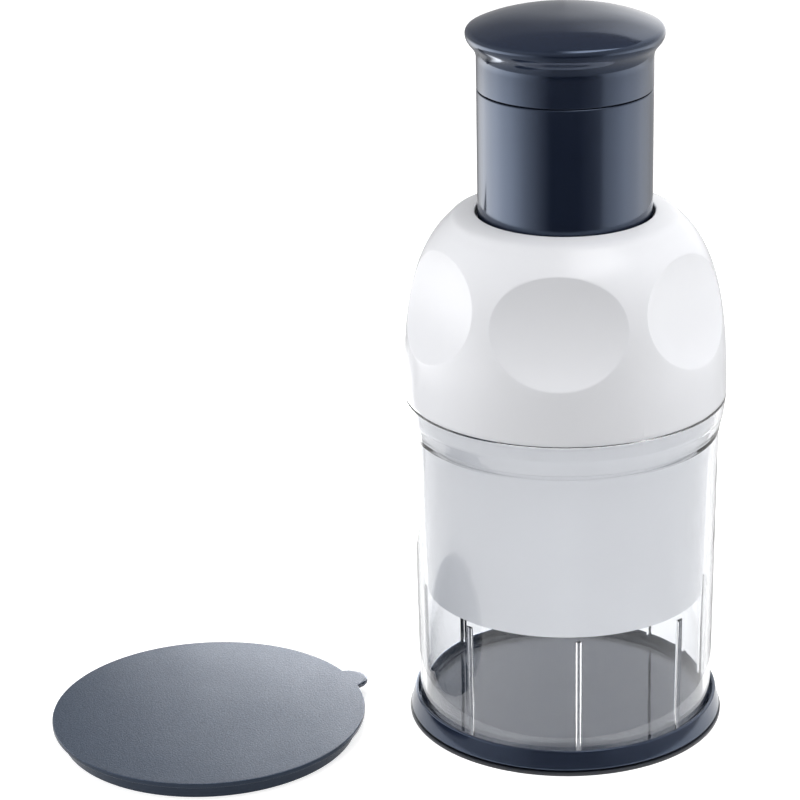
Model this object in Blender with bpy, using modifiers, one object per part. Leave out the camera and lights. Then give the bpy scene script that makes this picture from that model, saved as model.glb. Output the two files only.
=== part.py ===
"""Push-down food chopper, in metres, +Z up, origin under the centre of the base.

A knob on a tube is pressed into a domed housing. A twisted shaft under it runs
through a fixed nut, so the zigzag blades turn as they drop into the clear
container, and a slotted wiper turns with them. A storage lid lies beside it.
Azimuths are measured from the front, which is -Y, towards +X.
"""

import math

import bmesh
import bpy
from mathutils import Euler, Vector

# Fits and clearances
SEAT_GAP = 0.0003
SLIDE_GAP = 0.00035
SPIN_GAP = 0.0004
PILOT_GAP = 0.0004
CUT_OVER = 0.002

# How finely round pieces are faceted
LARGE_STEPS = 32
MEDIUM_STEPS = 20
SMALL_STEPS = 10
DIMPLE_STEPS = 64

# Foot pad
PAD_THICKNESS = 0.0013
PAD_PROUD = 0.0004
PAD_KEY_RADIUS = 0.0448
PAD_KEY_WIDTH = 0.0016
PAD_KEY_HEIGHT = 0.0009
PAD_GROOVE_RADII = (0.0300, 0.0370)
PAD_GROOVE_WIDTH = 0.0030
PAD_GROOVE_DEPTH = 0.0005

# Base tray
TRAY_HEIGHT = 0.0065
TRAY_FLOOR = 0.0016
TRAY_GAP = 0.0008
TRAY_RIM_WALL = 0.0010
TRAY_FLARE = 0.0014
TRAY_EDGE = 0.0004

# Clear container
CONTAINER_HEIGHT = 0.1111
CONTAINER_FOOT_RADIUS = 0.0488
CONTAINER_TAPER = 0.0013
CONTAINER_WALL = 0.0020
CONTAINER_FLOOR = 0.0020
CONTAINER_FOOT_ROUND = 0.0022
COLLAR_STEP = 0.0023
COLLAR_HEIGHT = 0.0114
COLLAR_FLARE = 0.0036
CONTAINER_RIBS = 8
CONTAINER_RIB_TURN = math.radians(5.3)
CONTAINER_RIB_WIDTH = 0.0017
CONTAINER_RIB_DEPTH = 0.0012
CONTAINER_RIB_START = 0.0040

# Blades and wiper
STROKE = 0.0440
BLADE_FLOOR_GAP = 0.0005
BLADE_ENGAGED = 0.0006
BLADE_HEIGHT = 0.0180
BLADE_THICKNESS = 0.0006
BLADE_BEVEL = 0.0025
BLADE_EDGE = 0.0001
BLADE_STRIPS = 3
BLADE_FOLD_TURNS = (44.0, 20.0, 39.0, 24.0)
WIPER_THICKNESS = 0.0025
WIPER_RIM = 0.0030
WIPER_SLOT_GAP = 0.00045
HUB_RADIUS = 0.0103
HUB_HEIGHT = 0.0260
HUB_LIFT = 0.0020
HUB_FLAT = 0.0084
HUB_SPIGOT_DEPTH = 0.0180
HUB_SCREW_POCKET = 0.0026
WIPER_HOLE_GAP = 0.0013
RIVET_RADIUS = 0.0012
RIVET_HEAD_RADIUS = 0.0022
RIVET_HEAD = 0.0008
RIVET_LENGTH = 0.0036
RIVET_LIFT = 0.0120

# Sleeve
SLEEVE_WALL = 0.0018
SLEEVE_FOOT_GAP = 0.00155
SLEEVE_NECK_GAP = 0.0010
SLEEVE_RIM_GAP = 0.0012
SLEEVE_LEDGE = 0.0020
SLEEVE_LEDGE_THICKNESS = 0.0010
SLEEVE_BEAD = 0.0008
SLEEVE_RISE = 0.0068
SHELF_THICKNESS = 0.0022
SHELF_SCREW_GAP = 0.0011

# Domed housing
DOME_PROUD = 0.0001
DOME_HEIGHT = 0.0632
DOME_WALL = 0.0025
DOME_LOW_HANDLE = 0.57
DOME_TOP_HANDLE = 0.0193
DOME_TOP_SLOPE = math.radians(55.0)
DOME_CHAMFER = 0.0003
OPENING_GAP = 0.00165
LIP_ROUND = 0.0012
LIP_DEPTH = 0.0033
STOP_STEP = 0.0014
DIMPLES = 6
DIMPLE_TURN = math.radians(-2.4)
DIMPLE_CURVE_RADIUS = 0.0620
DIMPLE_REACH = 0.0099
DIMPLE_AXIS_HEIGHT = 0.0506
DIMPLE_CUT_LENGTH = 0.0560
POST_RADIUS = 0.0042
POST_CLEARANCE = 0.0036
POST_TURN = math.radians(27.6)
POST_WEB = 0.0016
POSTS = 3

# Screws
SCREW_RADIUS = 0.0014
SCREW_HEAD_RADIUS = 0.0029
SCREW_HEAD = 0.0019
SCREW_LENGTH = 0.0130

# Guide frame
GUIDE_WALL = 0.0020
GUIDE_FLOOR = 0.0024
GUIDE_DROP = 0.0200
FLANGE_THICKNESS = 0.0024
FLANGE_SINK = 0.0005
FLOOR_BORE_GAP = 0.0005
TOWER_HEIGHT = 0.0480
TOWER_BORE = 0.0080
TOWER_RADIUS = 0.0120

# Nut and its cap
NUT_CORNER_RADIUS = 0.0097
NUT_HEIGHT = 0.0064
CAP_WALL = 0.0011
CAP_TOP = 0.0016
CAP_SKIRT = 0.0040
CAP_BORE_GAP = 0.0012

# Plunger
PLUNGER_RADIUS = 0.02785
PLUNGER_WALL = 0.00225
PLUNGER_REST_GAP = 0.0016
DECK_DROP = 0.0057
DECK_THICKNESS = 0.0024
DECK_BOSS_RADIUS = 0.0110
DECK_BOSS_DROP = 0.0087
LUGS = 3
LUG_REACH = 0.00275
LUG_WIDTH = 0.0060
LUG_HEIGHT = 0.0060
LUG_TURN = math.radians(87.6)
LUG_SIDE_GAP = 0.0004
STOP_RING_THICKNESS = 0.0013

# Knob
KNOB_LANDING = 0.0042
KNOB_NECK = 0.0099
KNOB_COVE = 0.0062
KNOB_RIM_RADIUS = 0.0314
KNOB_RIM_EDGE = 0.0027
KNOB_CROWN_RADIUS = 0.0308
KNOB_CROWN = 0.0063
KNOB_WALL = 0.0030
KNOB_PLUG = 0.0054
KNOB_PLUG_WALL = 0.0023
SEAM_CHAMFER = 0.00025

# Shaft, with a lead that gives an eighth of a turn over the stroke
TURN_PER_STROKE = math.radians(45.0)
SPLINE_STARTS = 4
SPLINE_TIP = 0.0060
SPLINE_ROOT = 0.0049
SPLINE_STEP = 0.0130
SPLINE_LOBE = (
    (-0.30, SPLINE_ROOT),
    (-0.22, SPLINE_TIP),
    (0.0, SPLINE_TIP),
    (0.22, SPLINE_TIP),
    (0.30, SPLINE_ROOT),
)
SPLINE_LOW_GAP = 0.0180
SHAFT_NECK = 0.0056
JOURNAL_RADIUS = 0.0050
SPIGOT_RADIUS = 0.0043
BUSH_WALL = 0.0026
BUSH_FLANGE_RADIUS = 0.0100
BUSH_FLANGE = 0.0015
WASHER_RADIUS = 0.0085
WASHER_THICKNESS = 0.0010
SHAFT_SCREW_RADIUS = 0.0019
SHAFT_SCREW_HEAD_RADIUS = 0.0042
SHAFT_SCREW_HEAD = 0.0022
SHAFT_SCREW_LENGTH = 0.0110

# Return spring
SPRING_RADIUS = 0.0170
SPRING_WIRE = 0.0016
SPRING_TURNS = 9
SPRING_END_PITCH = 0.0023
SPRING_POINTS = 10
SPRING_SEAT_RADIUS = 0.0195
SPRING_SEAT_THICKNESS = 0.0015

# Storage lid
LID_CENTRE_X = -0.1193
LID_CENTRE_Y = -0.0188
LID_HEIGHT = 0.0065
LID_RIM = 0.0016
LID_PLATE = 0.0022
LID_SKIRT_GAP = 0.0003
LID_SKIRT_TAPER = 0.0008
LID_SKIRT_WALL = 0.0017
LID_EDGE = 0.0004
LID_TAB_TURN = math.radians(118.0)
LID_TAB_RADIUS = 0.0060
LID_TAB_REACH = 0.0055

# Heights that follow, measured from the table
TRAY_Z = PAD_THICKNESS + SEAT_GAP
CONTAINER_Z = TRAY_Z + TRAY_FLOOR + SEAT_GAP
CONTAINER_TOP_Z = CONTAINER_Z + CONTAINER_HEIGHT
HOUSING_Z = CONTAINER_TOP_Z + SEAT_GAP
LIP_Z = HOUSING_Z + DOME_HEIGHT
BLADE_Z = CONTAINER_Z + CONTAINER_FLOOR + BLADE_FLOOR_GAP + STROKE
WIPER_Z = BLADE_Z + BLADE_ENGAGED - WIPER_THICKNESS
SLEEVE_Z = WIPER_Z - SEAT_GAP - SLEEVE_LEDGE_THICKNESS
FLANGE_Z = HOUSING_Z - FLANGE_SINK - FLANGE_THICKNESS
SHELF_Z = FLANGE_Z - SEAT_GAP - SHELF_THICKNESS
GUIDE_Z = FLANGE_Z - GUIDE_DROP
GUIDE_FLOOR_Z = GUIDE_Z + GUIDE_FLOOR
TOWER_TOP_Z = GUIDE_Z + TOWER_HEIGHT
CEILING_Z = LIP_Z - LIP_DEPTH
STOP_RING_Z = CEILING_Z - SEAT_GAP - STOP_RING_THICKNESS
GUIDE_TOP_Z = STOP_RING_Z - SEAT_GAP
PLUNGER_Z = GUIDE_FLOOR_Z + STROKE + PLUNGER_REST_GAP
COVE_Z = LIP_Z + STROKE + KNOB_LANDING
NECK_Z = COVE_Z - KNOB_NECK
SEAM_Z = NECK_Z - SEAT_GAP
DECK_TOP_Z = SEAM_Z - DECK_DROP
DECK_Z = DECK_TOP_Z - DECK_THICKNESS
BUSH_Z = DECK_Z - DECK_BOSS_DROP
SHOULDER_Z = BUSH_Z - SEAT_GAP
BUSH_TOP_Z = DECK_TOP_Z + SEAT_GAP + BUSH_FLANGE
JOURNAL_TOP_Z = BUSH_TOP_Z + SEAT_GAP
HUB_Z = BLADE_Z + HUB_LIFT
HUB_TOP_Z = HUB_Z + HUB_HEIGHT
NUT_Z = TOWER_TOP_Z - SEAT_GAP - NUT_HEIGHT
SPRING_SEAT_Z = GUIDE_FLOOR_Z + SEAT_GAP
SPRING_LOW_Z = SPRING_SEAT_Z + SPRING_SEAT_THICKNESS + SEAT_GAP
SPRING_HIGH_Z = DECK_Z - SEAT_GAP

# Radii that follow
NECK_RADIUS = CONTAINER_FOOT_RADIUS + CONTAINER_TAPER
COLLAR_RADIUS = NECK_RADIUS + COLLAR_STEP
COLLAR_BORE = COLLAR_RADIUS - CONTAINER_WALL
DOME_RADIUS = COLLAR_RADIUS + DOME_PROUD
DOME_BORE = DOME_RADIUS - DOME_WALL
TRAY_BORE = CONTAINER_FOOT_RADIUS + TRAY_GAP
TRAY_TOP_RADIUS = TRAY_BORE + TRAY_RIM_WALL
TRAY_FOOT_RADIUS = TRAY_TOP_RADIUS + TRAY_FLARE
PAD_RADIUS = TRAY_FOOT_RADIUS + PAD_PROUD
OPENING_RADIUS = PLUNGER_RADIUS + OPENING_GAP
PLUNGER_BORE = PLUNGER_RADIUS - PLUNGER_WALL
GUIDE_BORE = PLUNGER_RADIUS + SLIDE_GAP
GUIDE_RADIUS = GUIDE_BORE + GUIDE_WALL
LUG_RADIUS = PLUNGER_RADIUS + LUG_REACH
POST_CIRCLE = GUIDE_RADIUS + POST_CLEARANCE + POST_RADIUS
SLEEVE_RIM_RADIUS = COLLAR_BORE - SLEEVE_RIM_GAP
SLEEVE_RIM_BORE = SLEEVE_RIM_RADIUS - SLEEVE_WALL
FLANGE_RADIUS = SLEEVE_RIM_BORE - SEAT_GAP
SPLINE_TWIST = -TURN_PER_STROKE / STROKE


def container_bore_at(height):
    """Inner radius of the container's tapered wall at a height above the table."""
    rise = CONTAINER_HEIGHT - COLLAR_HEIGHT
    share = (height - CONTAINER_Z) / rise
    return CONTAINER_FOOT_RADIUS + CONTAINER_TAPER * share - CONTAINER_WALL


SLEEVE_FOOT_RADIUS = container_bore_at(SLEEVE_Z) - SLEEVE_FOOT_GAP
SLEEVE_NECK_RADIUS = NECK_RADIUS - CONTAINER_WALL - SLEEVE_NECK_GAP
SLEEVE_FOOT_BORE = SLEEVE_FOOT_RADIUS - SLEEVE_WALL
WIPER_RADIUS = SLEEVE_FOOT_BORE - SPIN_GAP
WIPER_HOLE = HUB_RADIUS + WIPER_HOLE_GAP
BLADE_TIP_RADIUS = WIPER_RADIUS - WIPER_RIM

# Finishes: colour, roughness, metallic, alpha
FINISHES = {
    "white_abs": ((0.80, 0.81, 0.83), 0.22, 0.0, 1.0),
    "anthracite_abs": ((0.045, 0.055, 0.080), 0.18, 0.0, 1.0),
    "anthracite_grained": ((0.060, 0.072, 0.095), 0.55, 0.0, 1.0),
    "clear_san": ((0.90, 0.93, 0.94), 0.06, 0.0, 0.35),
    "grey_acetal": ((0.62, 0.63, 0.64), 0.45, 0.0, 1.0),
    "dark_elastomer": ((0.035, 0.040, 0.052), 0.70, 0.0, 1.0),
    "stainless_steel": ((0.62, 0.62, 0.61), 0.28, 1.0, 1.0),
}


def clear_scene():
    for obj in list(bpy.data.objects):
        bpy.data.objects.remove(obj, do_unlink=True)


def new_collection(name):
    collection = bpy.data.collections.new(name)
    bpy.context.scene.collection.children.link(collection)
    return collection


def new_empty(name, parent=None, location=(0.0, 0.0, 0.0)):
    """An empty on a body's joint axis, which carries that body's pieces."""
    empty = bpy.data.objects.new(name, None)
    empty.empty_display_size = PLUNGER_RADIUS
    empty.location = location
    empty.parent = parent
    PARTS.objects.link(empty)
    return empty


def finish_material(name, finish):
    colour, roughness, metallic, alpha = FINISHES[finish]
    material = bpy.data.materials.new(name + "_" + finish)
    material.use_nodes = True
    shader = material.node_tree.nodes["Principled BSDF"]
    shader.inputs["Base Color"].default_value = (*colour, 1.0)
    shader.inputs["Roughness"].default_value = roughness
    shader.inputs["Metallic"].default_value = metallic
    shader.inputs["Alpha"].default_value = alpha
    return material


def new_part(mesh, name, finish, parent, location=(0.0, 0.0, 0.0)):
    part = bpy.data.objects.new(name, mesh)
    mesh.materials.append(finish_material(name, finish))
    part.location = location
    part.parent = parent
    PARTS.objects.link(part)
    return part


def new_cutter(mesh, name, location=(0.0, 0.0, 0.0), rotation=(0.0, 0.0, 0.0)):
    cutter = bpy.data.objects.new(name, mesh)
    cutter.location = location
    cutter.rotation_euler = rotation
    cutter.hide_render = True
    cutter.display_type = "WIRE"
    CUTTERS.objects.link(cutter)
    return cutter


def combine(part, other, operation):
    boolean = part.modifiers.new(other.name, "BOOLEAN")
    boolean.object = other
    boolean.operation = operation
    boolean.solver = "EXACT"


def mesh_from(name, build):
    mesh = bpy.data.meshes.new(name)
    shape = bmesh.new()
    build(shape)
    bmesh.ops.recalc_face_normals(shape, faces=shape.faces)
    shape.to_mesh(mesh)
    shape.free()
    return mesh


def cylinder_mesh(name, radius, length, steps):
    """A cylinder along Z, centred."""

    def build(shape):
        bmesh.ops.create_cone(
            shape, cap_ends=True, segments=steps, radius1=radius, radius2=radius, depth=length
        )

    return mesh_from(name, build)


def box_mesh(name, size):
    def build(shape):
        bmesh.ops.create_cube(shape, size=1.0)
        bmesh.ops.scale(shape, vec=size, verts=shape.verts)

    return mesh_from(name, build)


def outline_mesh(name, outline):
    """A profile in the XZ plane, closed unless it starts and ends on the axis."""
    mesh = bpy.data.meshes.new(name)
    points = [(radius, 0.0, height) for radius, height in outline]
    edges = [(i, i + 1) for i in range(len(points) - 1)]
    if outline[0][0] > 0.0:
        edges.append((len(points) - 1, 0))
    mesh.from_pydata(points, edges, [])
    return mesh


def turn(obj, steps):
    """Sweeps the object's profile once round Z."""
    screw = obj.modifiers.new("turned", "SCREW")
    screw.axis = "Z"
    screw.angle = math.tau
    screw.steps = steps
    screw.render_steps = steps
    screw.use_merge_vertices = True
    screw.merge_threshold = 0.000001
    return obj


def turned_part(name, outline, finish, parent, z=0.0, steps=LARGE_STEPS):
    return turn(new_part(outline_mesh(name, outline), name, finish, parent, (0.0, 0.0, z)), steps)


def turned_cutter(name, outline, z=0.0, steps=LARGE_STEPS):
    return turn(new_cutter(outline_mesh(name, outline), name, (0.0, 0.0, z)), steps)


def arc(centre, radius, start, end, steps):
    """Points of a round stretch of a profile, by angle in degrees from the outward direction."""
    points = []
    for i in range(steps + 1):
        angle = math.radians(start + (end - start) * i / steps)
        points.append((centre[0] + radius * math.cos(angle), centre[1] + radius * math.sin(angle)))
    return points


def at_azimuth(radius, azimuth, z):
    return (radius * math.sin(azimuth), -radius * math.cos(azimuth), z)


def round_the_axis(count, first=0.0):
    return [first + math.tau * i / count for i in range(count)]


def make_foot_pad(parent):
    """Soft pad bonded under the tray, keyed into it, with two grip grooves."""
    top = PAD_THICKNESS
    key_in = PAD_KEY_RADIUS - PAD_KEY_WIDTH / 2
    key_out = PAD_KEY_RADIUS + PAD_KEY_WIDTH / 2
    key_top = top + PAD_KEY_HEIGHT
    outline = [(0.0, top), (key_in, top), (key_in, key_top), (key_out, key_top), (key_out, top)]
    outline += [(PAD_RADIUS - TRAY_EDGE, top), (PAD_RADIUS, top - TRAY_EDGE), (PAD_RADIUS, TRAY_EDGE)]
    outline += [(PAD_RADIUS - TRAY_EDGE, 0.0)]
    for radius in reversed(PAD_GROOVE_RADII):
        outer = radius + PAD_GROOVE_WIDTH / 2
        inner = radius - PAD_GROOVE_WIDTH / 2
        outline += [(outer, 0.0), (outer - PAD_GROOVE_DEPTH, PAD_GROOVE_DEPTH)]
        outline += [(inner + PAD_GROOVE_DEPTH, PAD_GROOVE_DEPTH), (inner, 0.0)]
    outline.append((0.0, 0.0))
    turned_part("foot_pad", outline, "dark_elastomer", parent)


def make_base_tray(parent):
    """Shallow tray with a rim that flares towards the table."""
    key_in = PAD_KEY_RADIUS - PAD_KEY_WIDTH / 2 - SEAT_GAP
    key_out = PAD_KEY_RADIUS + PAD_KEY_WIDTH / 2 + SEAT_GAP
    key_top = PAD_KEY_HEIGHT
    top = TRAY_HEIGHT
    outline = [(0.0, TRAY_FLOOR), (TRAY_BORE - TRAY_EDGE, TRAY_FLOOR), (TRAY_BORE, TRAY_FLOOR + TRAY_EDGE)]
    outline += [(TRAY_BORE, top - TRAY_EDGE / 2), (TRAY_BORE + TRAY_EDGE / 2, top)]
    outline += arc((TRAY_TOP_RADIUS - TRAY_EDGE, top - TRAY_EDGE), TRAY_EDGE, 90, 10, 3)
    outline += [(TRAY_FOOT_RADIUS, TRAY_EDGE), (TRAY_FOOT_RADIUS - TRAY_EDGE, 0.0)]
    outline += [(key_out, 0.0), (key_out, key_top), (key_in, key_top), (key_in, 0.0), (0.0, 0.0)]
    turned_part("base_tray", outline, "anthracite_abs", parent, TRAY_Z)


def make_container(parent):
    """Clear cup: rounded foot, tapered wall, wider collar, and ribs that stop food from turning."""
    wall = CONTAINER_WALL
    floor = CONTAINER_FLOOR
    top = CONTAINER_HEIGHT
    neck = top - COLLAR_HEIGHT
    collar = neck + COLLAR_FLARE
    foot_round = CONTAINER_FOOT_ROUND
    foot_bore = container_bore_at(CONTAINER_Z)
    outline = [(0.0, floor)]
    outline += arc((foot_bore - foot_round, floor + foot_round), foot_round, -90, 0, 4)
    outline += [(NECK_RADIUS - wall, neck - wall / 2)]
    outline += [(COLLAR_BORE, collar - wall / 2), (COLLAR_BORE, top)]
    outline += [(COLLAR_RADIUS - TRAY_EDGE, top), (COLLAR_RADIUS, top - TRAY_EDGE)]
    for i in range(5):
        share = i / 4
        swell = math.sin(share * math.pi / 2)
        step_in = COLLAR_STEP * (1 - math.sqrt(1 - share * share))
        outline.append((COLLAR_RADIUS - step_in, collar - COLLAR_FLARE * swell))
    outline += arc((CONTAINER_FOOT_RADIUS - foot_round, foot_round), foot_round, 0, -90, 4)
    outline.append((0.0, 0.0))
    container = turned_part("container", outline, "clear_san", parent, CONTAINER_Z)

    low = CONTAINER_Z + floor + CONTAINER_RIB_START
    high = SLEEVE_Z - 2 * SEAT_GAP
    bore = container_bore_at(low)
    depth = CONTAINER_RIB_DEPTH + wall
    size = (CONTAINER_RIB_WIDTH, depth, high - low)
    radius = bore - CONTAINER_RIB_DEPTH + depth / 2
    for i, azimuth in enumerate(round_the_axis(CONTAINER_RIBS, CONTAINER_RIB_TURN)):
        place = at_azimuth(radius, azimuth, (low + high) / 2)
        mesh = box_mesh("container_rib", size)
        rib = new_cutter(mesh, f"container_rib_{i + 1}", place, (0.0, 0.0, azimuth))
        combine(container, rib, "UNION")


def dome_lip_centre():
    return OPENING_RADIUS + LIP_ROUND, DOME_HEIGHT - LIP_ROUND


def dome_point(share, inset):
    """A point of the dome's cubic curve, from its foot at 0 to the lip at 1, moved in by the inset."""
    lip_radius, lip_height = dome_lip_centre()
    normal = Vector((math.cos(DOME_TOP_SLOPE), math.sin(DOME_TOP_SLOPE)))
    foot = Vector((DOME_RADIUS, 0.0))
    foot_handle = Vector((DOME_RADIUS, DOME_LOW_HANDLE * DOME_HEIGHT))
    lip = Vector((lip_radius, lip_height)) + LIP_ROUND * normal
    lip_handle = lip + DOME_TOP_HANDLE * Vector((normal.y, -normal.x))
    rest = 1 - share
    point = rest**3 * foot + 3 * rest**2 * share * foot_handle
    point += 3 * rest * share**2 * lip_handle + share**3 * lip
    slope = rest**2 * (foot_handle - foot) + 2 * rest * share * (lip_handle - foot_handle)
    slope += share**2 * (lip - lip_handle)
    slope.normalize()
    return point + inset * Vector((-slope.y, slope.x))


def dimple_cutters(name, target, inset):
    """Barrels lying across the dome: each takes a finger dimple off it, as deep as the inset leaves."""
    radius = DIMPLE_CURVE_RADIUS + inset
    out = DOME_RADIUS - DIMPLE_REACH + DIMPLE_CURVE_RADIUS
    height = HOUSING_Z + DIMPLE_AXIS_HEIGHT
    mesh = cylinder_mesh(name, radius, DIMPLE_CUT_LENGTH, DIMPLE_STEPS)
    for i, azimuth in enumerate(round_the_axis(DIMPLES, DIMPLE_TURN)):
        turn_to_tangent = (0.0, math.pi / 2, azimuth)
        place = at_azimuth(out, azimuth, height)
        combine(target, new_cutter(mesh, f"{name}_{i + 1}", place, turn_to_tangent), "DIFFERENCE")


def make_dome_housing(parent):
    """Moulded dome: the dimples press into its inside too, so the wall stays even."""
    curve = [1 - i / 11 for i in range(12)]
    outline = arc(dome_lip_centre(), LIP_ROUND, 180, 80, 4)
    outline += [tuple(dome_point(share, 0.0)) for share in curve[:-1]]
    outline += [(DOME_RADIUS, DOME_CHAMFER), (DOME_RADIUS - DOME_CHAMFER, 0.0), (OPENING_RADIUS, 0.0)]
    housing = turned_part("dome_housing", outline, "white_abs", parent, HOUSING_Z)
    # Half a facet round, so that the shell's edges never lie in those of its hollow
    housing.rotation_euler = Euler((0.0, 0.0, math.pi / LARGE_STEPS))
    dimple_cutters("dimple", housing, 0.0)

    ceiling = CEILING_Z - HOUSING_Z
    stop = SLEEVE_RISE + SEAT_GAP
    hollow = [(0.0, ceiling)]
    above_stop = stop + 2 * STOP_STEP
    inner = [dome_point(share, DOME_WALL) for share in curve]
    inner = [point for point in inner if above_stop < point.y < ceiling]
    hollow += [(inner[0].x - (ceiling - inner[0].y), ceiling)]
    hollow += [tuple(point) for point in inner]
    hollow += [(DOME_BORE, above_stop), (DOME_BORE - STOP_STEP, stop + STOP_STEP)]
    hollow += [(DOME_BORE - STOP_STEP, stop)]
    hollow += [(DOME_BORE, stop), (DOME_BORE, -CUT_OVER), (0.0, -CUT_OVER)]
    cavity = turned_cutter("dome_cavity", hollow, HOUSING_Z)
    dimple_cutters("dimple_inside", cavity, DOME_WALL)

    post_low = HOUSING_Z - FLANGE_SINK + SEAT_GAP
    post_length = LIP_Z - post_low
    post_mid = post_low + post_length / 2
    web_length = DOME_RADIUS - POST_CIRCLE
    web_low = HOUSING_Z + SLEEVE_RISE + 4 * STOP_STEP
    web_height = LIP_Z - web_low
    for i, azimuth in enumerate(round_the_axis(POSTS, POST_TURN)):
        mesh = cylinder_mesh("post", POST_RADIUS, post_length, SMALL_STEPS)
        post = new_cutter(mesh, f"screw_post_{i + 1}", at_azimuth(POST_CIRCLE, azimuth, post_mid))
        combine(cavity, post, "DIFFERENCE")
        mesh = box_mesh("post_web", (POST_WEB, web_length, web_height))
        place = at_azimuth(POST_CIRCLE + web_length / 2, azimuth, web_low + web_height / 2)
        web = new_cutter(mesh, f"post_web_{i + 1}", place, (0.0, 0.0, azimuth))
        combine(cavity, web, "DIFFERENCE")
    combine(housing, cavity, "DIFFERENCE")
    hole_depth = SCREW_LENGTH + CUT_OVER
    for i, azimuth in enumerate(round_the_axis(POSTS, POST_TURN)):
        mesh = cylinder_mesh("pilot", SCREW_RADIUS + PILOT_GAP, 2 * hole_depth, SMALL_STEPS)
        pilot = new_cutter(mesh, f"post_pilot_{i + 1}", at_azimuth(POST_CIRCLE, azimuth, post_low))
        combine(housing, pilot, "DIFFERENCE")


def make_guide_frame(parent):
    """Carrier under the dome: flange, guide tube for the plunger, floor, and the nut's tower."""
    flange_low = GUIDE_DROP
    flange_top = GUIDE_DROP + FLANGE_THICKNESS
    top = GUIDE_TOP_Z - GUIDE_Z
    floor_bore = SPLINE_TIP + FLOOR_BORE_GAP
    outline = [(TOWER_BORE, TOWER_HEIGHT), (TOWER_RADIUS, TOWER_HEIGHT), (TOWER_RADIUS, GUIDE_FLOOR)]
    outline += [(GUIDE_BORE, GUIDE_FLOOR), (GUIDE_BORE, top), (GUIDE_RADIUS, top), (GUIDE_RADIUS, flange_top)]
    outline += [(FLANGE_RADIUS, flange_top), (FLANGE_RADIUS, flange_low), (GUIDE_RADIUS, flange_low)]
    outline += [(GUIDE_RADIUS, 0.0), (floor_bore, 0.0), (floor_bore, GUIDE_FLOOR), (TOWER_BORE, GUIDE_FLOOR)]
    frame = turned_part("guide_frame", outline, "grey_acetal", parent, GUIDE_Z)

    pocket_depth = NUT_HEIGHT + 2 * SEAT_GAP
    mesh = cylinder_mesh("nut_pocket", NUT_CORNER_RADIUS + SEAT_GAP, 2 * pocket_depth, 6)
    combine(frame, new_cutter(mesh, "nut_pocket", (0.0, 0.0, TOWER_TOP_Z)), "DIFFERENCE")

    slot_low = GUIDE_TOP_Z - LUG_HEIGHT - STROKE - LUG_SIDE_GAP * 2
    slot_high = GUIDE_TOP_Z + CUT_OVER
    width = LUG_WIDTH + 2 * LUG_SIDE_GAP
    depth = 3 * GUIDE_WALL
    mesh = box_mesh("lug_slot", (width, depth, slot_high - slot_low))
    for i, azimuth in enumerate(round_the_axis(LUGS, LUG_TURN)):
        place = at_azimuth(GUIDE_BORE + GUIDE_WALL / 2, azimuth, (slot_low + slot_high) / 2)
        combine(frame, new_cutter(mesh, f"lug_slot_{i + 1}", place, (0.0, 0.0, azimuth)), "DIFFERENCE")
    mesh = cylinder_mesh("flange_hole", SCREW_RADIUS + PILOT_GAP, 4 * FLANGE_THICKNESS, SMALL_STEPS)
    for i, azimuth in enumerate(round_the_axis(POSTS, POST_TURN)):
        place = at_azimuth(POST_CIRCLE, azimuth, FLANGE_Z)
        combine(frame, new_cutter(mesh, f"flange_hole_{i + 1}", place), "DIFFERENCE")


def pan_head_outline(head_radius, head_height, shank_radius, length):
    """A screw with its head below and its shank going up, from the underside of the head at 0."""
    edge = head_height * 0.4
    outline = [(0.0, length), (shank_radius * 0.6, length), (shank_radius, length - shank_radius)]
    outline += [(shank_radius, 0.0), (head_radius, 0.0), (head_radius, edge - head_height)]
    outline += [(head_radius - edge, -head_height), (0.0, -head_height)]
    return outline


def make_housing_screws(parent):
    outline = pan_head_outline(SCREW_HEAD_RADIUS, SCREW_HEAD, SCREW_RADIUS, SCREW_LENGTH)
    for i, azimuth in enumerate(round_the_axis(POSTS, POST_TURN)):
        mesh = outline_mesh("housing_screw", outline)
        place = at_azimuth(POST_CIRCLE, azimuth, FLANGE_Z - SEAT_GAP)
        turn(new_part(mesh, f"housing_screw_{i + 1}", "stainless_steel", parent, place), SMALL_STEPS)


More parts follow.
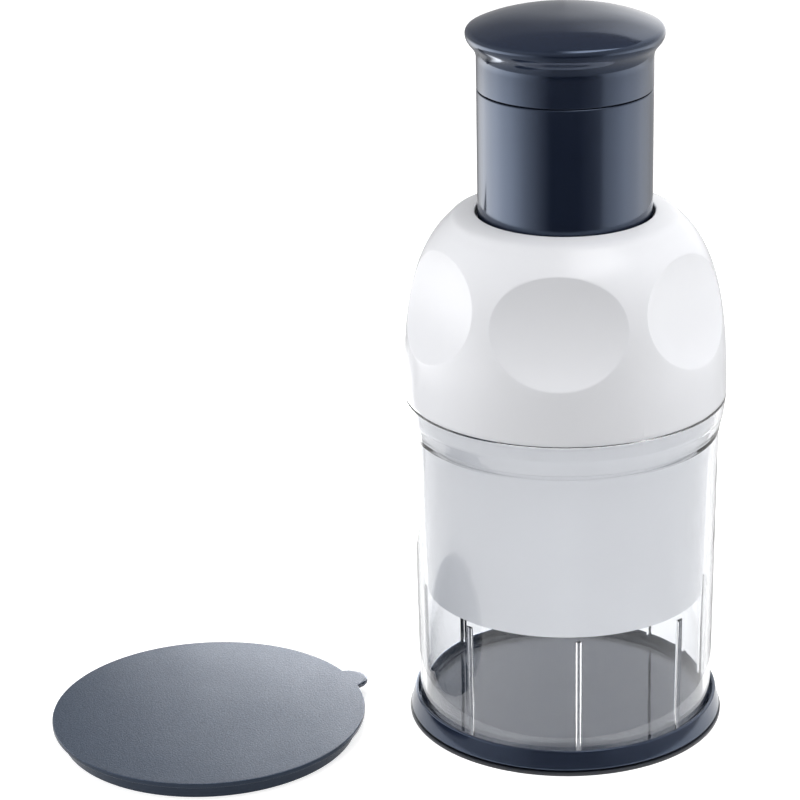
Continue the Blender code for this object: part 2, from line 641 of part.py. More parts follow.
def make_inner_sleeve(parent):
    """White sleeve: shelf for the guide frame above, ledge and bead for the wiper below."""
    top = HOUSING_Z + SLEEVE_RISE - SLEEVE_Z
    shelf = SHELF_Z - SLEEVE_Z
    shelf_top = shelf + SHELF_THICKNESS
    shelf_bore = POST_CIRCLE + SCREW_HEAD_RADIUS + SHELF_SCREW_GAP
    neck = CONTAINER_TOP_Z - COLLAR_HEIGHT - SLEEVE_Z
    neck_low = neck - 2 * SLEEVE_WALL
    rim_low = neck + COLLAR_FLARE
    bead_z = top - 2 * SLEEVE_BEAD
    bead_radius = DOME_BORE - SEAT_GAP
    ledge_bore = SLEEVE_FOOT_BORE - SLEEVE_LEDGE
    ledge_top = SLEEVE_LEDGE_THICKNESS
    catch_low = WIPER_Z + WIPER_THICKNESS + SEAT_GAP - SLEEVE_Z
    catch_bore = SLEEVE_FOOT_BORE - SLEEVE_BEAD
    edge = TRAY_EDGE
    outline = [(SLEEVE_RIM_BORE, top), (SLEEVE_RIM_RADIUS, top), (bead_radius, bead_z)]
    outline += [(bead_radius, bead_z - SLEEVE_BEAD), (SLEEVE_RIM_RADIUS, bead_z - 2 * SLEEVE_BEAD)]
    outline += [(SLEEVE_RIM_RADIUS, rim_low), (SLEEVE_NECK_RADIUS + SLEEVE_NECK_GAP / 2, neck)]
    outline += [(SLEEVE_NECK_RADIUS, neck_low), (SLEEVE_FOOT_RADIUS, edge), (SLEEVE_FOOT_RADIUS - edge, 0.0)]
    outline += [(ledge_bore, 0.0), (ledge_bore, ledge_top), (SLEEVE_FOOT_BORE, ledge_top)]
    outline += [(SLEEVE_FOOT_BORE, catch_low - SEAT_GAP), (catch_bore, catch_low)]
    outline += [(catch_bore, catch_low + SLEEVE_BEAD)]
    outline += [(SLEEVE_FOOT_BORE, catch_low + 2 * SLEEVE_BEAD), (SLEEVE_NECK_RADIUS - SLEEVE_WALL, neck_low)]
    outline += [(SLEEVE_NECK_RADIUS - SLEEVE_WALL + SLEEVE_NECK_GAP / 2, neck), (SLEEVE_RIM_BORE, rim_low)]
    outline += [(SLEEVE_RIM_BORE, shelf), (shelf_bore, shelf)]
    outline += [(shelf_bore, shelf_top), (SLEEVE_RIM_BORE, shelf_top)]
    turned_part("inner_sleeve", outline, "white_abs", parent, SLEEVE_Z)


def spline_prism(name, extra, low, high):
    """A lobed section, thicker than the shaft's by the extra, carried up Z with the shaft's twist."""
    pitch = math.tau / SPLINE_STARTS
    section = []
    for start in range(SPLINE_STARTS):
        for share, radius in SPLINE_LOBE:
            side = math.copysign(extra / radius, share) if share else 0.0
            section.append((pitch * (start + share) + side, radius + extra))
    steps = max(1, round((high - low) / SPLINE_STEP))
    turn_all = SPLINE_TWIST * (high - low)
    start_turn = SPLINE_TWIST * (low - NUT_Z)

    def build(shape):
        ring = []
        for angle, radius in section:
            place = (radius * math.cos(angle + start_turn), radius * math.sin(angle + start_turn), low)
            ring.append(shape.verts.new(place))
        face = shape.faces.new(ring)
        bmesh.ops.spin(
            shape,
            geom=[face, *face.edges, *face.verts],
            cent=(0.0, 0.0, 0.0),
            axis=(0.0, 0.0, 1.0),
            dvec=(0.0, 0.0, (high - low) / steps),
            angle=turn_all,
            steps=steps,
        )

    return mesh_from(name, build)


def make_nut(parent):
    """Fixed six-sided nut whose bore follows the shaft's twisted spline."""
    mesh = cylinder_mesh("index_nut", NUT_CORNER_RADIUS, NUT_HEIGHT, 6)
    nut = new_part(mesh, "index_nut", "grey_acetal", parent, (0.0, 0.0, NUT_Z + NUT_HEIGHT / 2))
    mesh = spline_prism("nut_bore", SEAT_GAP, NUT_Z - CUT_OVER, NUT_Z + NUT_HEIGHT + CUT_OVER)
    bore = new_cutter(mesh, "nut_bore")
    combine(nut, bore, "DIFFERENCE")


def make_nut_retainer(parent):
    """Cap that snaps over the tower and holds the nut down."""
    bore = SPLINE_TIP + CAP_BORE_GAP
    skirt_bore = TOWER_RADIUS + SEAT_GAP
    radius = skirt_bore + CAP_WALL
    low = TOWER_TOP_Z - CAP_SKIRT
    under = CAP_SKIRT + SEAT_GAP
    top = under + CAP_TOP
    outline = [(bore, top), (radius, top), (radius, 0.0), (skirt_bore, 0.0)]
    outline += [(skirt_bore, under), (bore, under)]
    turned_part("nut_retainer", outline, "grey_acetal", parent, low, MEDIUM_STEPS)


def make_stop_ring(parent):
    """Soft ring between guide tube and dome that the lugs come up against."""
    inner = GUIDE_BORE + SEAT_GAP
    outer = LUG_RADIUS + STOP_RING_THICKNESS / 2
    outline = [(inner, STOP_RING_THICKNESS), (outer, STOP_RING_THICKNESS), (outer, 0.0), (inner, 0.0)]
    turned_part("stop_ring", outline, "dark_elastomer", parent, STOP_RING_Z)


def make_spring_seat(parent):
    inner = TOWER_RADIUS + SPIN_GAP
    outline = [(inner, SPRING_SEAT_THICKNESS), (SPRING_SEAT_RADIUS, SPRING_SEAT_THICKNESS)]
    outline += [(SPRING_SEAT_RADIUS, 0.0), (inner, 0.0)]
    turned_part("spring_seat", outline, "grey_acetal", parent, SPRING_SEAT_Z, MEDIUM_STEPS)


def make_plunger_tube(parent):
    """Tube with a deck near its top, a boss for the bush, and lugs that stop it from turning."""
    top = SEAM_Z - PLUNGER_Z
    deck = DECK_Z - PLUNGER_Z
    deck_top = DECK_TOP_Z - PLUNGER_Z
    boss = deck - DECK_BOSS_DROP
    bush_bore = JOURNAL_RADIUS + SPIN_GAP + BUSH_WALL + SEAT_GAP
    outline = [(PLUNGER_BORE, top), (PLUNGER_RADIUS - SEAM_CHAMFER, top)]
    outline += [(PLUNGER_RADIUS, top - SEAM_CHAMFER)]
    outline += [(PLUNGER_RADIUS, TRAY_EDGE), (PLUNGER_RADIUS - TRAY_EDGE, 0.0), (PLUNGER_BORE, 0.0)]
    outline += [(PLUNGER_BORE, deck), (DECK_BOSS_RADIUS, deck), (DECK_BOSS_RADIUS, boss), (bush_bore, boss)]
    outline += [(bush_bore, deck_top), (PLUNGER_BORE, deck_top)]
    tube = turned_part("plunger_tube", outline, "anthracite_abs", parent, PLUNGER_Z)
    depth = LUG_REACH + PLUNGER_WALL / 2
    height = GUIDE_TOP_Z - LUG_HEIGHT / 2
    mesh = box_mesh("lug", (LUG_WIDTH, depth, LUG_HEIGHT))
    for i, azimuth in enumerate(round_the_axis(LUGS, LUG_TURN)):
        place = at_azimuth(LUG_RADIUS - depth / 2, azimuth, height)
        combine(tube, new_cutter(mesh, f"plunger_lug_{i + 1}", place, (0.0, 0.0, azimuth)), "UNION")


def make_thrust_bush(parent):
    """Flanged bush in the deck: the shaft's journal turns in it."""
    bore = JOURNAL_RADIUS + SPIN_GAP
    radius = bore + BUSH_WALL
    flange_low = DECK_TOP_Z + SEAT_GAP - BUSH_Z
    top = BUSH_TOP_Z - BUSH_Z
    outline = [(bore, top), (BUSH_FLANGE_RADIUS, top), (BUSH_FLANGE_RADIUS, flange_low), (radius, flange_low)]
    outline += [(radius, 0.0), (bore, 0.0)]
    turned_part("thrust_bush", outline, "grey_acetal", parent, BUSH_Z, MEDIUM_STEPS)


def make_knob(parent):
    """Palm knob: crowned top, rolled rim, cove, neck, and a plug that fits the tube."""
    plug_radius = PLUNGER_BORE - SEAT_GAP
    plug_bore = plug_radius - KNOB_PLUG_WALL
    neck_low = KNOB_PLUG
    cove = neck_low + KNOB_NECK
    rim_low = cove + KNOB_COVE
    rim_high = rim_low + KNOB_RIM_EDGE
    crown_radius = (KNOB_CROWN_RADIUS**2 + KNOB_CROWN**2) / (2 * KNOB_CROWN)
    crown_centre = rim_high + KNOB_CROWN - crown_radius
    crown_angle = math.degrees(math.asin(KNOB_CROWN_RADIUS / crown_radius))
    edge = KNOB_RIM_RADIUS - KNOB_CROWN_RADIUS
    outline = arc((0.0, crown_centre), crown_radius, 90, 90 - crown_angle, 6)
    outline[0] = (0.0, outline[0][1])
    for i in range(1, 4):
        angle = math.pi / 6 * i
        radius = KNOB_CROWN_RADIUS + edge * math.sin(angle)
        outline.append((radius, rim_low + KNOB_RIM_EDGE * math.cos(angle)))
    step = KNOB_RIM_RADIUS - PLUNGER_RADIUS
    for i in range(1, 5):
        share = i / 4
        outline.append((KNOB_RIM_RADIUS - step * share**0.7, rim_low - KNOB_COVE * share))
    outline += [(PLUNGER_RADIUS, neck_low + SEAM_CHAMFER), (PLUNGER_RADIUS - SEAM_CHAMFER, neck_low)]
    outline += [(plug_radius, neck_low), (plug_radius, 0.0), (plug_bore, 0.0), (plug_bore, cove)]
    inner_crown = crown_radius - KNOB_WALL
    inner_angle = math.degrees(math.asin(plug_bore / inner_crown))
    inside = arc((0.0, crown_centre), inner_crown, 90 - inner_angle, 90, 3)
    outline += inside[:-1]
    outline.append((0.0, inside[-1][1]))
    turned_part("knob", outline, "anthracite_abs", parent, NECK_Z - KNOB_PLUG)


def spring_point(turns):
    """A point of the spring's centre line: closed end turns and an even pitch between them."""
    low = SPRING_LOW_Z + SPRING_WIRE / 2
    high = SPRING_HIGH_Z - SPRING_WIRE / 2
    pitch = (high - low - 2 * SPRING_END_PITCH) / (SPRING_TURNS - 2)
    if turns < 1:
        z = low + SPRING_END_PITCH * turns
    elif turns > SPRING_TURNS - 1:
        z = high - SPRING_END_PITCH * (SPRING_TURNS - turns)
    else:
        z = low + SPRING_END_PITCH + pitch * (turns - 1)
    return Vector((SPRING_RADIUS * math.cos(math.tau * turns), SPRING_RADIUS * math.sin(math.tau * turns), z))


def make_return_spring(parent):
    """Steel compression spring round the tower, from its seat up to the plunger's deck."""
    count = SPRING_TURNS * SPRING_POINTS
    points = [spring_point(i / SPRING_POINTS) for i in range(count + 1)]
    curve = bpy.data.curves.new("return_spring", "CURVE")
    curve.dimensions = "3D"
    curve.bevel_depth = SPRING_WIRE / 2
    curve.bevel_resolution = 1
    curve.use_fill_caps = True
    spline = curve.splines.new("POLY")
    spline.points.add(count)
    for control, point in zip(spline.points, points):
        control.co = (*point, 1.0)
    gaps = [(a - b).length for i, a in enumerate(points) for b in points[i + SPRING_POINTS // 2 :]]
    print(f"return_spring: least gap to itself {1000 * (min(gaps) - SPRING_WIRE):.2f} mm")
    new_part(curve, "return_spring", "stainless_steel", parent)


def make_drive_shaft(parent):
    """Shaft: journal above, twisted spline in the middle, neck and spigot for the hub below."""
    spline_low = HUB_TOP_Z + SPLINE_LOW_GAP
    neck_low = HUB_TOP_Z + SEAT_GAP
    spigot_low = HUB_TOP_Z - HUB_SPIGOT_DEPTH
    mesh = spline_prism("drive_shaft", 0.0, spline_low, SHOULDER_Z)
    shaft = new_part(mesh, "drive_shaft", "stainless_steel", parent)
    outline = [(0.0, JOURNAL_TOP_Z), (JOURNAL_RADIUS, JOURNAL_TOP_Z), (JOURNAL_RADIUS, SHOULDER_Z - CUT_OVER)]
    outline.append((0.0, SHOULDER_Z - CUT_OVER))
    combine(shaft, turned_cutter("shaft_journal", outline, 0.0, MEDIUM_STEPS), "UNION")
    outline = [(0.0, spline_low + CUT_OVER), (SPLINE_ROOT * 0.9, spline_low + CUT_OVER)]
    outline += [(SHAFT_NECK, spline_low - CUT_OVER), (SHAFT_NECK, neck_low), (SPIGOT_RADIUS, neck_low)]
    outline += [(SPIGOT_RADIUS, spigot_low), (0.0, spigot_low)]
    combine(shaft, turned_cutter("shaft_neck", outline, 0.0, MEDIUM_STEPS), "UNION")
    pilot = SHAFT_SCREW_RADIUS + PILOT_GAP
    depth = 2 * (SHAFT_SCREW_LENGTH + CUT_OVER)
    for name, z in (("top_pilot", JOURNAL_TOP_Z), ("low_pilot", spigot_low)):
        cutter = new_cutter(cylinder_mesh(name, pilot, depth, SMALL_STEPS), name, (0.0, 0.0, z))
        combine(shaft, cutter, "DIFFERENCE")


def make_shaft_washer(parent):
    bore = SHAFT_SCREW_RADIUS + PILOT_GAP
    outline = [(bore, WASHER_THICKNESS), (WASHER_RADIUS, WASHER_THICKNESS), (WASHER_RADIUS, 0.0), (bore, 0.0)]
    turned_part("shaft_washer", outline, "stainless_steel", parent, JOURNAL_TOP_Z + SEAT_GAP, MEDIUM_STEPS)


def make_shaft_screw(parent):
    z = JOURNAL_TOP_Z + WASHER_THICKNESS + 2 * SEAT_GAP
    head_radius, head = SHAFT_SCREW_HEAD_RADIUS, SHAFT_SCREW_HEAD
    outline = pan_head_outline(head_radius, head, SHAFT_SCREW_RADIUS, SHAFT_SCREW_LENGTH)
    screw = turned_part("shaft_screw", outline, "stainless_steel", parent, z, SMALL_STEPS)
    screw.rotation_euler = Euler((math.pi, 0.0, 0.0))


def make_blade_hub(parent):
    """Hub with three flats that the blade strips are riveted to."""
    spigot_depth = HUB_SPIGOT_DEPTH + SEAT_GAP
    bore = SPIGOT_RADIUS + SEAT_GAP
    hole = SHAFT_SCREW_RADIUS + PILOT_GAP
    pocket = SHAFT_SCREW_HEAD_RADIUS + PILOT_GAP
    edge = 3 * TRAY_EDGE
    outline = [(bore, HUB_HEIGHT), (HUB_RADIUS - edge, HUB_HEIGHT), (HUB_RADIUS, HUB_HEIGHT - edge)]
    outline += [(HUB_RADIUS, 0.0), (pocket, 0.0), (pocket, HUB_SCREW_POCKET), (hole, HUB_SCREW_POCKET)]
    outline += [(hole, HUB_HEIGHT - spigot_depth), (bore, HUB_HEIGHT - spigot_depth)]
    hub = turned_part("blade_hub", outline, "grey_acetal", parent, HUB_Z, MEDIUM_STEPS)
    flat_height = BLADE_Z + BLADE_HEIGHT + SEAT_GAP
    flat_low = HUB_Z - CUT_OVER
    size = (2 * HUB_RADIUS, HUB_RADIUS, flat_height - flat_low)
    rivet_length = 2 * (RIVET_LENGTH + SEAT_GAP)
    for i, azimuth in enumerate(round_the_axis(BLADE_STRIPS)):
        place = at_azimuth(HUB_FLAT + HUB_RADIUS / 2, azimuth, (flat_height + flat_low) / 2)
        flat = new_cutter(box_mesh("hub_flat", size), f"hub_flat_{i + 1}", place, (0.0, 0.0, azimuth))
        combine(hub, flat, "DIFFERENCE")
        hole_mesh = cylinder_mesh("rivet_hole", RIVET_RADIUS + SEAT_GAP, rivet_length, SMALL_STEPS)
        place = at_azimuth(rivet_face(), azimuth, BLADE_Z + RIVET_LIFT)
        rivet_hole = new_cutter(hole_mesh, f"hub_rivet_hole_{i + 1}", place, (math.pi / 2, 0.0, azimuth))
        combine(hub, rivet_hole, "DIFFERENCE")


def rivet_face():
    """Distance from the axis to the underside of a rivet's head."""
    return HUB_FLAT + 2 * SEAT_GAP + BLADE_THICKNESS


def blade_fold(extend):
    """Half of a strip's folded line, from the hub's flat out to the tip, as (out, across)."""
    middle = HUB_FLAT + SEAT_GAP + BLADE_THICKNESS / 2
    start = Vector((middle, math.sqrt(HUB_RADIUS**2 - HUB_FLAT**2)))
    reach = BLADE_TIP_RADIUS - start.length
    line = [start]
    for i, degrees in enumerate(BLADE_FOLD_TURNS):
        radius = start.length + reach * (i + 1) / len(BLADE_FOLD_TURNS)
        angle = math.radians(degrees)
        line.append(Vector((radius * math.cos(angle), radius * math.sin(angle))))
    last = (line[-1] - line[-2]).normalized()
    line[-1] = line[-1] + extend * last
    return line


def folded_line(extend):
    half = blade_fold(extend)
    other = [Vector((point.x, -point.y)) for point in reversed(half)]
    return other + half


def folded_sheet(name, extend, heights):
    """The folded line carried straight up through the heights, with no thickness yet."""

    def build(shape):
        row = [shape.verts.new((point.y, -point.x, heights[0])) for point in folded_line(extend)]
        edges = [shape.edges.new(pair) for pair in zip(row, row[1:])]
        for low, high in zip(heights, heights[1:]):
            grown = bmesh.ops.extrude_edge_only(shape, edges=edges)["geom"]
            fresh = {item for item in grown if isinstance(item, bmesh.types.BMVert)}
            edges = [item for item in grown if isinstance(item, bmesh.types.BMEdge)]
            edges = [edge for edge in edges if fresh.issuperset(edge.verts)]
            bmesh.ops.translate(shape, vec=(0.0, 0.0, high - low), verts=list(fresh))

    return mesh_from(name, build)


def thicken(obj, thickness):
    solid = obj.modifiers.new("thickness", "SOLIDIFY")
    solid.thickness = thickness
    solid.offset = 0.0
    solid.use_even_offset = True
    return solid


def make_blades(parent):
    """Three folded steel strips, each sharpened along its lower edge and riveted to the hub."""
    heights = (BLADE_Z, BLADE_Z + BLADE_BEVEL, BLADE_Z + BLADE_HEIGHT)
    for i, azimuth in enumerate(round_the_axis(BLADE_STRIPS)):
        mesh = folded_sheet("blade", 0.0, heights)
        blade = new_part(mesh, f"zigzag_blade_{i + 1}", "stainless_steel", parent)
        blade.rotation_euler = Euler((0.0, 0.0, azimuth))
        full = blade.vertex_groups.new(name="full_thickness")
        above = [vert.index for vert in blade.data.vertices if vert.co.z > BLADE_Z + BLADE_BEVEL / 2]
        full.add(above, 1.0, "REPLACE")
        solid = thicken(blade, BLADE_THICKNESS)
        solid.vertex_group = full.name
        solid.thickness_vertex_group = BLADE_EDGE / BLADE_THICKNESS
        mesh = cylinder_mesh("blade_hole", RIVET_RADIUS + SEAT_GAP, HUB_RADIUS / 2, SMALL_STEPS)
        place = at_azimuth(rivet_face(), azimuth, BLADE_Z + RIVET_LIFT)
        hole = new_cutter(mesh, f"blade_hole_{i + 1}", place, (math.pi / 2, 0.0, azimuth))
        combine(blade, hole, "DIFFERENCE")

        outline = pan_head_outline(RIVET_HEAD_RADIUS, RIVET_HEAD, RIVET_RADIUS, RIVET_LENGTH)
        mesh = outline_mesh("rivet", outline)
        rivet = new_part(mesh, f"blade_rivet_{i + 1}", "stainless_steel", parent, place)
        rivet.rotation_euler = Euler((-math.pi / 2, 0.0, azimuth))
        turn(rivet, SMALL_STEPS)


def make_blade_screw(parent):
    head_radius, head = SHAFT_SCREW_HEAD_RADIUS, SHAFT_SCREW_HEAD
    outline = pan_head_outline(head_radius, head, SHAFT_SCREW_RADIUS, SHAFT_SCREW_LENGTH)
    z = HUB_Z + HUB_SCREW_POCKET - SEAT_GAP
    turned_part("blade_screw", outline, "stainless_steel", parent, z, SMALL_STEPS)


def make_wiper_disc(parent):
    """Disc in the sleeve's foot: the blades drop through its slots and turn it with them."""
    top = WIPER_THICKNESS
    outline = [(WIPER_HOLE, top), (WIPER_RADIUS - TRAY_EDGE, top), (WIPER_RADIUS, top - TRAY_EDGE)]
    outline += [(WIPER_RADIUS, 0.0), (WIPER_HOLE, 0.0)]
    disc = turned_part("wiper_disc", outline, "white_abs", parent, WIPER_Z)
    heights = (WIPER_Z - CUT_OVER, WIPER_Z + WIPER_THICKNESS + CUT_OVER)
    for i, azimuth in enumerate(round_the_axis(BLADE_STRIPS)):
        sheet = folded_sheet("wiper_slot", WIPER_SLOT_GAP, heights)
        slot = new_cutter(sheet, f"wiper_slot_{i + 1}", (0.0, 0.0, 0.0), (0.0, 0.0, azimuth))
        thicken(slot, BLADE_THICKNESS + 2 * WIPER_SLOT_GAP)
        combine(disc, slot, "DIFFERENCE")


def make_storage_lid(parent):
    """Lid that plugs into the container's collar, standing on its skirt, with a pull tab."""
    top = LID_HEIGHT
    rim_low = top - LID_RIM
    skirt = COLLAR_BORE - LID_SKIRT_GAP
    foot = skirt - LID_SKIRT_TAPER
    outline = [(0.0, top), (COLLAR_RADIUS - LID_EDGE, top)]
    outline += [(COLLAR_RADIUS, top - LID_EDGE), (COLLAR_RADIUS, rim_low)]
    outline += [(skirt, rim_low), (foot, LID_EDGE), (foot - LID_EDGE, 0.0), (foot - LID_SKIRT_WALL, 0.0)]
    outline += [(skirt - LID_SKIRT_WALL, top - LID_PLATE), (0.0, top - LID_PLATE)]
    lid = turned_part("storage_lid", outline, "anthracite_grained", parent)
    reach = COLLAR_RADIUS + LID_TAB_REACH - LID_TAB_RADIUS
    mesh = cylinder_mesh("lid_tab", LID_TAB_RADIUS, LID_RIM - LID_EDGE, MEDIUM_STEPS)
    across, back, height = at_azimuth(reach, LID_TAB_TURN, rim_low + LID_RIM / 2)
    tab = new_cutter(mesh, "lid_tab", (LID_CENTRE_X + across, LID_CENTRE_Y + back, height))
    combine(lid, tab, "UNION")


clear_scene()
PARTS = new_collection("food_chopper")
CUTTERS = new_collection("cutters")

base_body = new_empty("base_body")
container_body = new_empty("container_body", base_body)
housing_body = new_empty("housing_body", container_body)
wiper_body = new_empty("wiper_body", housing_body)
plunger_body = new_empty("plunger_body", housing_body)
blade_body = new_empty("blade_body", plunger_body)
lid_body = new_empty("lid_body", base_body, (LID_CENTRE_X, LID_CENTRE_Y, 0.0))

make_foot_pad(base_body)
make_base_tray(base_body)
make_container(container_body)
make_dome_housing(housing_body)
make_guide_frame(housing_body)
make_housing_screws(housing_body)
make_inner_sleeve(housing_body)
make_nut(housing_body)
make_nut_retainer(housing_body)
make_stop_ring(housing_body)
make_spring_seat(housing_body)
make_plunger_tube(plunger_body)
make_thrust_bush(plunger_body)
make_knob(plunger_body)
make_return_spring(plunger_body)
make_drive_shaft(blade_body)
make_shaft_washer(blade_body)
make_shaft_screw(blade_body)
make_blade_hub(blade_body)
make_blades(blade_body)
make_blade_screw(blade_body)
make_wiper_disc(wiper_body)
make_storage_lid(lid_body)
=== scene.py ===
"""Food chopper: the visible surfaces, finishes and studio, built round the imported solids.

Everything is in metres, +Z up, with the chopper's axis on Z and its foot on the floor at 0.
Azimuths are measured from the front, which is -Y, towards +X.
"""

import math

import bmesh
import bpy
import numpy as np
from bpy.props import FloatProperty, FloatVectorProperty, IntProperty, PointerProperty
from mathutils import Matrix, Vector


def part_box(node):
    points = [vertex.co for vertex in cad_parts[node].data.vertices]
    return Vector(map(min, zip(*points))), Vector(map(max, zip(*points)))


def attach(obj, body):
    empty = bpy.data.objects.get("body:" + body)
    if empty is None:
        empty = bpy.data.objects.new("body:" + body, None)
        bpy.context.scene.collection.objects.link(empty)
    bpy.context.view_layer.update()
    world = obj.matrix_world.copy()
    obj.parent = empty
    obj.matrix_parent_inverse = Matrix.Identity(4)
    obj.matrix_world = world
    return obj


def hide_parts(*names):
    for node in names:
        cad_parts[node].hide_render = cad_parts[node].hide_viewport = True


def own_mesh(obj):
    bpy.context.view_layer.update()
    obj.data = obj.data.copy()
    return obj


bl_info = {
    "name": "Food chopper surfaces",
    "version": (1, 0, 0),
    "blender": (4, 5, 0),
    "location": "3D View > Sidebar > Chopper",
    "description": "Makes the visible surfaces, finishes and studio of a push-down food chopper",
    "category": "Add Mesh",
}

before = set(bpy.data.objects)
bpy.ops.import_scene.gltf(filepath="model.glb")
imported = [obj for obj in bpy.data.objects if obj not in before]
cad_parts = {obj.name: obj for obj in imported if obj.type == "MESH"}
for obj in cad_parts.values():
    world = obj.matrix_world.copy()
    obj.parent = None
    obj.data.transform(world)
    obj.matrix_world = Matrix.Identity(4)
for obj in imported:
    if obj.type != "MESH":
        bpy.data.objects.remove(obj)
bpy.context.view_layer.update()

MM = 0.001
ROUND_STEPS = 192
DIMPLES = 6
FRAME_PIXELS = 800.0
WHITE_LIGHT = (1.0, 1.0, 1.0, 1.0)


def bottom(node):
    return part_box(node)[0].z


def top(node):
    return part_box(node)[1].z


def linear_rgb(hex_colour):
    """Linear colour of an sRGB hex value: c/12.92 up to 0.04045, then ((c + 0.055)/1.055)^2.4."""
    channels = np.array([int(hex_colour[i : i + 2], 16) for i in (0, 2, 4)]) / 255
    linear = np.where(channels <= 0.04045, channels / 12.92, ((channels + 0.055) / 1.055) ** 2.4)
    return tuple(float(c) for c in linear)


def length(name, default, description):
    kind = {"min": 0.0, "precision": 5, "subtype": "DISTANCE", "unit": "LENGTH"}
    return FloatProperty(name=name, description=description, default=default, **kind)


def turn(name, degrees, description):
    return FloatProperty(name=name, description=description, default=math.radians(degrees), subtype="ANGLE")


def colour(name, hex_colour, description):
    kind = {"size": 3, "min": 0.0, "max": 1.0, "subtype": "COLOR"}
    return FloatVectorProperty(name=name, description=description, default=linear_rgb(hex_colour), **kind)


def number(name, default, description):
    return FloatProperty(name=name, description=description, default=default)


# Sizes and colours that a user would change


class KnobSettings(bpy.types.PropertyGroup):
    crown_top: length("Crown top", top("knob") - 1.0 * MM, "Height of the palm face's middle")
    crown_rise: length("Crown rise", 4.85 * MM, "How far the palm face rises from its rim to its middle")
    rim_radius: length("Rim radius", 31.4 * MM, "Radius of the rolled rim")
    rim_round: length("Rim rounding", 1.3 * MM, "Rounding between palm face and rim")
    neck_radius: length("Neck radius", 27.95 * MM, "Radius of the neck and of the tube under it")
    cove_bottom: length("Cove bottom", 226.0 * MM, "Height at which the cove runs into the neck")
    wall: length("Wall", 3.0 * MM, "Wall of the knob and of the tube")
    body: colour("Body", "1A2131", "Colour of the dark gloss plastic")


class DomeSettings(bpy.types.PropertyGroup):
    radius: length("Foot radius", 52.4 * MM, "Radius at the seam over the container")
    foot_edge: length("Foot edge", 0.3 * MM, "Bevel under the foot, which draws the seam")
    shoulder: length("Shoulder height", 45.3 * MM, "Length of the curve's upright handle at the foot")
    lip_height: length("Lip height", 61.1 * MM, "Height of the opening's lip over the foot")
    opening: length("Opening radius", 28.8 * MM, "Radius of the opening that the tube slides in")
    lip_round: length("Lip rounding", 0.5 * MM, "Rounding of the opening's lip")
    dimple_curve: length("Dimple curve", 62.0 * MM, "Radius that the finger dimples are hollowed to")
    dimple_reach: length("Dimple reach", 9.9 * MM, "How far the dimples reach inside the foot radius")
    dimple_height: length("Dimple height", 50.6 * MM, "Height of the dimples' deepest line over the seam")
    dimple_turn: turn("Dimple turn", -2.4, "Azimuth of the front dimple")
    body: colour("Body", "E9EAEE", "Colour of the white gloss plastic")


class ContainerSettings(bpy.types.PropertyGroup):
    foot_radius: length("Foot radius", 48.8 * MM, "Outer radius at the foot")
    neck_radius: length("Neck radius", 50.1 * MM, "Outer radius under the collar")
    collar_radius: length("Collar radius", 52.4 * MM, "Outer radius of the collar")
    collar_height: length("Collar height", 11.4 * MM, "Height of the collar")
    wall: length("Wall", 2.0 * MM, "Wall and floor thickness")
    foot_round: length("Foot rounding", 2.2 * MM, "Rounding of the foot")
    rib_count: IntProperty(name="Ribs", description="Number of inner ribs", default=8, min=1)
    rib_turn: turn("Rib turn", 5.3, "Azimuth of the first rib")
    rib_width: length("Rib width", 1.9 * MM, "Width of an inner rib at its root")
    rib_depth: length("Rib depth", 1.2 * MM, "How far a rib stands in from the wall")
    body: colour("Body", "EFF0F2", "Tint of the clear plastic")


class SleeveSettings(bpy.types.PropertyGroup):
    foot_radius: length("Foot radius", 45.8 * MM, "Outer radius at the foot")
    neck_radius: length("Neck radius", 47.1 * MM, "Outer radius below the step in the collar")
    rim_radius: length("Rim radius", 49.2 * MM, "Outer radius inside the collar")
    wall: length("Wall", 1.8 * MM, "Wall thickness")
    # Lighter than the dome's white: painted light that makes up for the light the clear wall takes
    body: colour("Body", "F5F6F9", "Colour of the white gloss plastic")


class TraySettings(bpy.types.PropertyGroup):
    rim_radius: length("Rim radius", 50.6 * MM, "Outer radius of the tray's top rim")
    rim_wall: length("Rim wall", 1.0 * MM, "Thickness of the top rim")
    foot_radius: length("Foot radius", 52.0 * MM, "Outer radius of the tray's foot")
    floor: length("Floor", 1.6 * MM, "Thickness of the floor")
    pad_radius: length("Pad radius", 52.4 * MM, "Outer radius of the foot pad")
    pad_colour: colour("Pad", "23272F", "Colour of the soft pad")


class LidSettings(bpy.types.PropertyGroup):
    centre: FloatVectorProperty(
        name="Centre",
        description="Where the lid lies",
        default=(-119.3 * MM, -18.8 * MM),
        size=2,
        unit="LENGTH",
    )
    radius: length("Radius", 52.4 * MM, "Outer radius of the rim")
    rim: length("Rim", 1.6 * MM, "Thickness of the rim")
    skirt_radius: length("Skirt radius", 50.1 * MM, "Radius of the skirt under the rim")
    skirt_taper: length("Skirt taper", 0.8 * MM, "How much the skirt narrows towards its foot")
    tab_turn: turn("Tab turn", 118.0, "Azimuth of the pull tab")
    tab_radius: length("Tab radius", 6.0 * MM, "Radius of the pull tab's end")
    tab_reach: length("Tab reach", 5.5 * MM, "How far the tab stands out of the rim")
    body: colour("Body", "39424F", "Colour of the grained plastic")


class StudioSettings(bpy.types.PropertyGroup):
    camera_distance: length("Camera distance", 918.1 * MM, "Distance of the camera in front of the axis")
    camera_height: length("Camera height", 465.2 * MM, "Height of the camera")
    camera_pitch: turn("Camera pitch", 21.12, "How far the camera looks down")
    focal_pixels: number("Focal length", 3011.0, "In pixels of an 800 pixel frame")
    chopper_column: number("Chopper column", 565.2, "Pixel column of the chopper's axis in that frame")
    left_light: number("Left light", 2.64, "Radiance of the left screen")
    right_light: number("Right light", 2.4, "Radiance of the right screen")
    top_light: number("Top light", 5.2, "Radiance of the panel above")
    # Glow of the sheets that only reflections see, which paint reflections on glossy pieces
    painted_reflection_level: number("Card light", 1.0, "How light the cards round the set are")
    sky_light: number("Room light", 0.5, "Radiance of the room's walls")


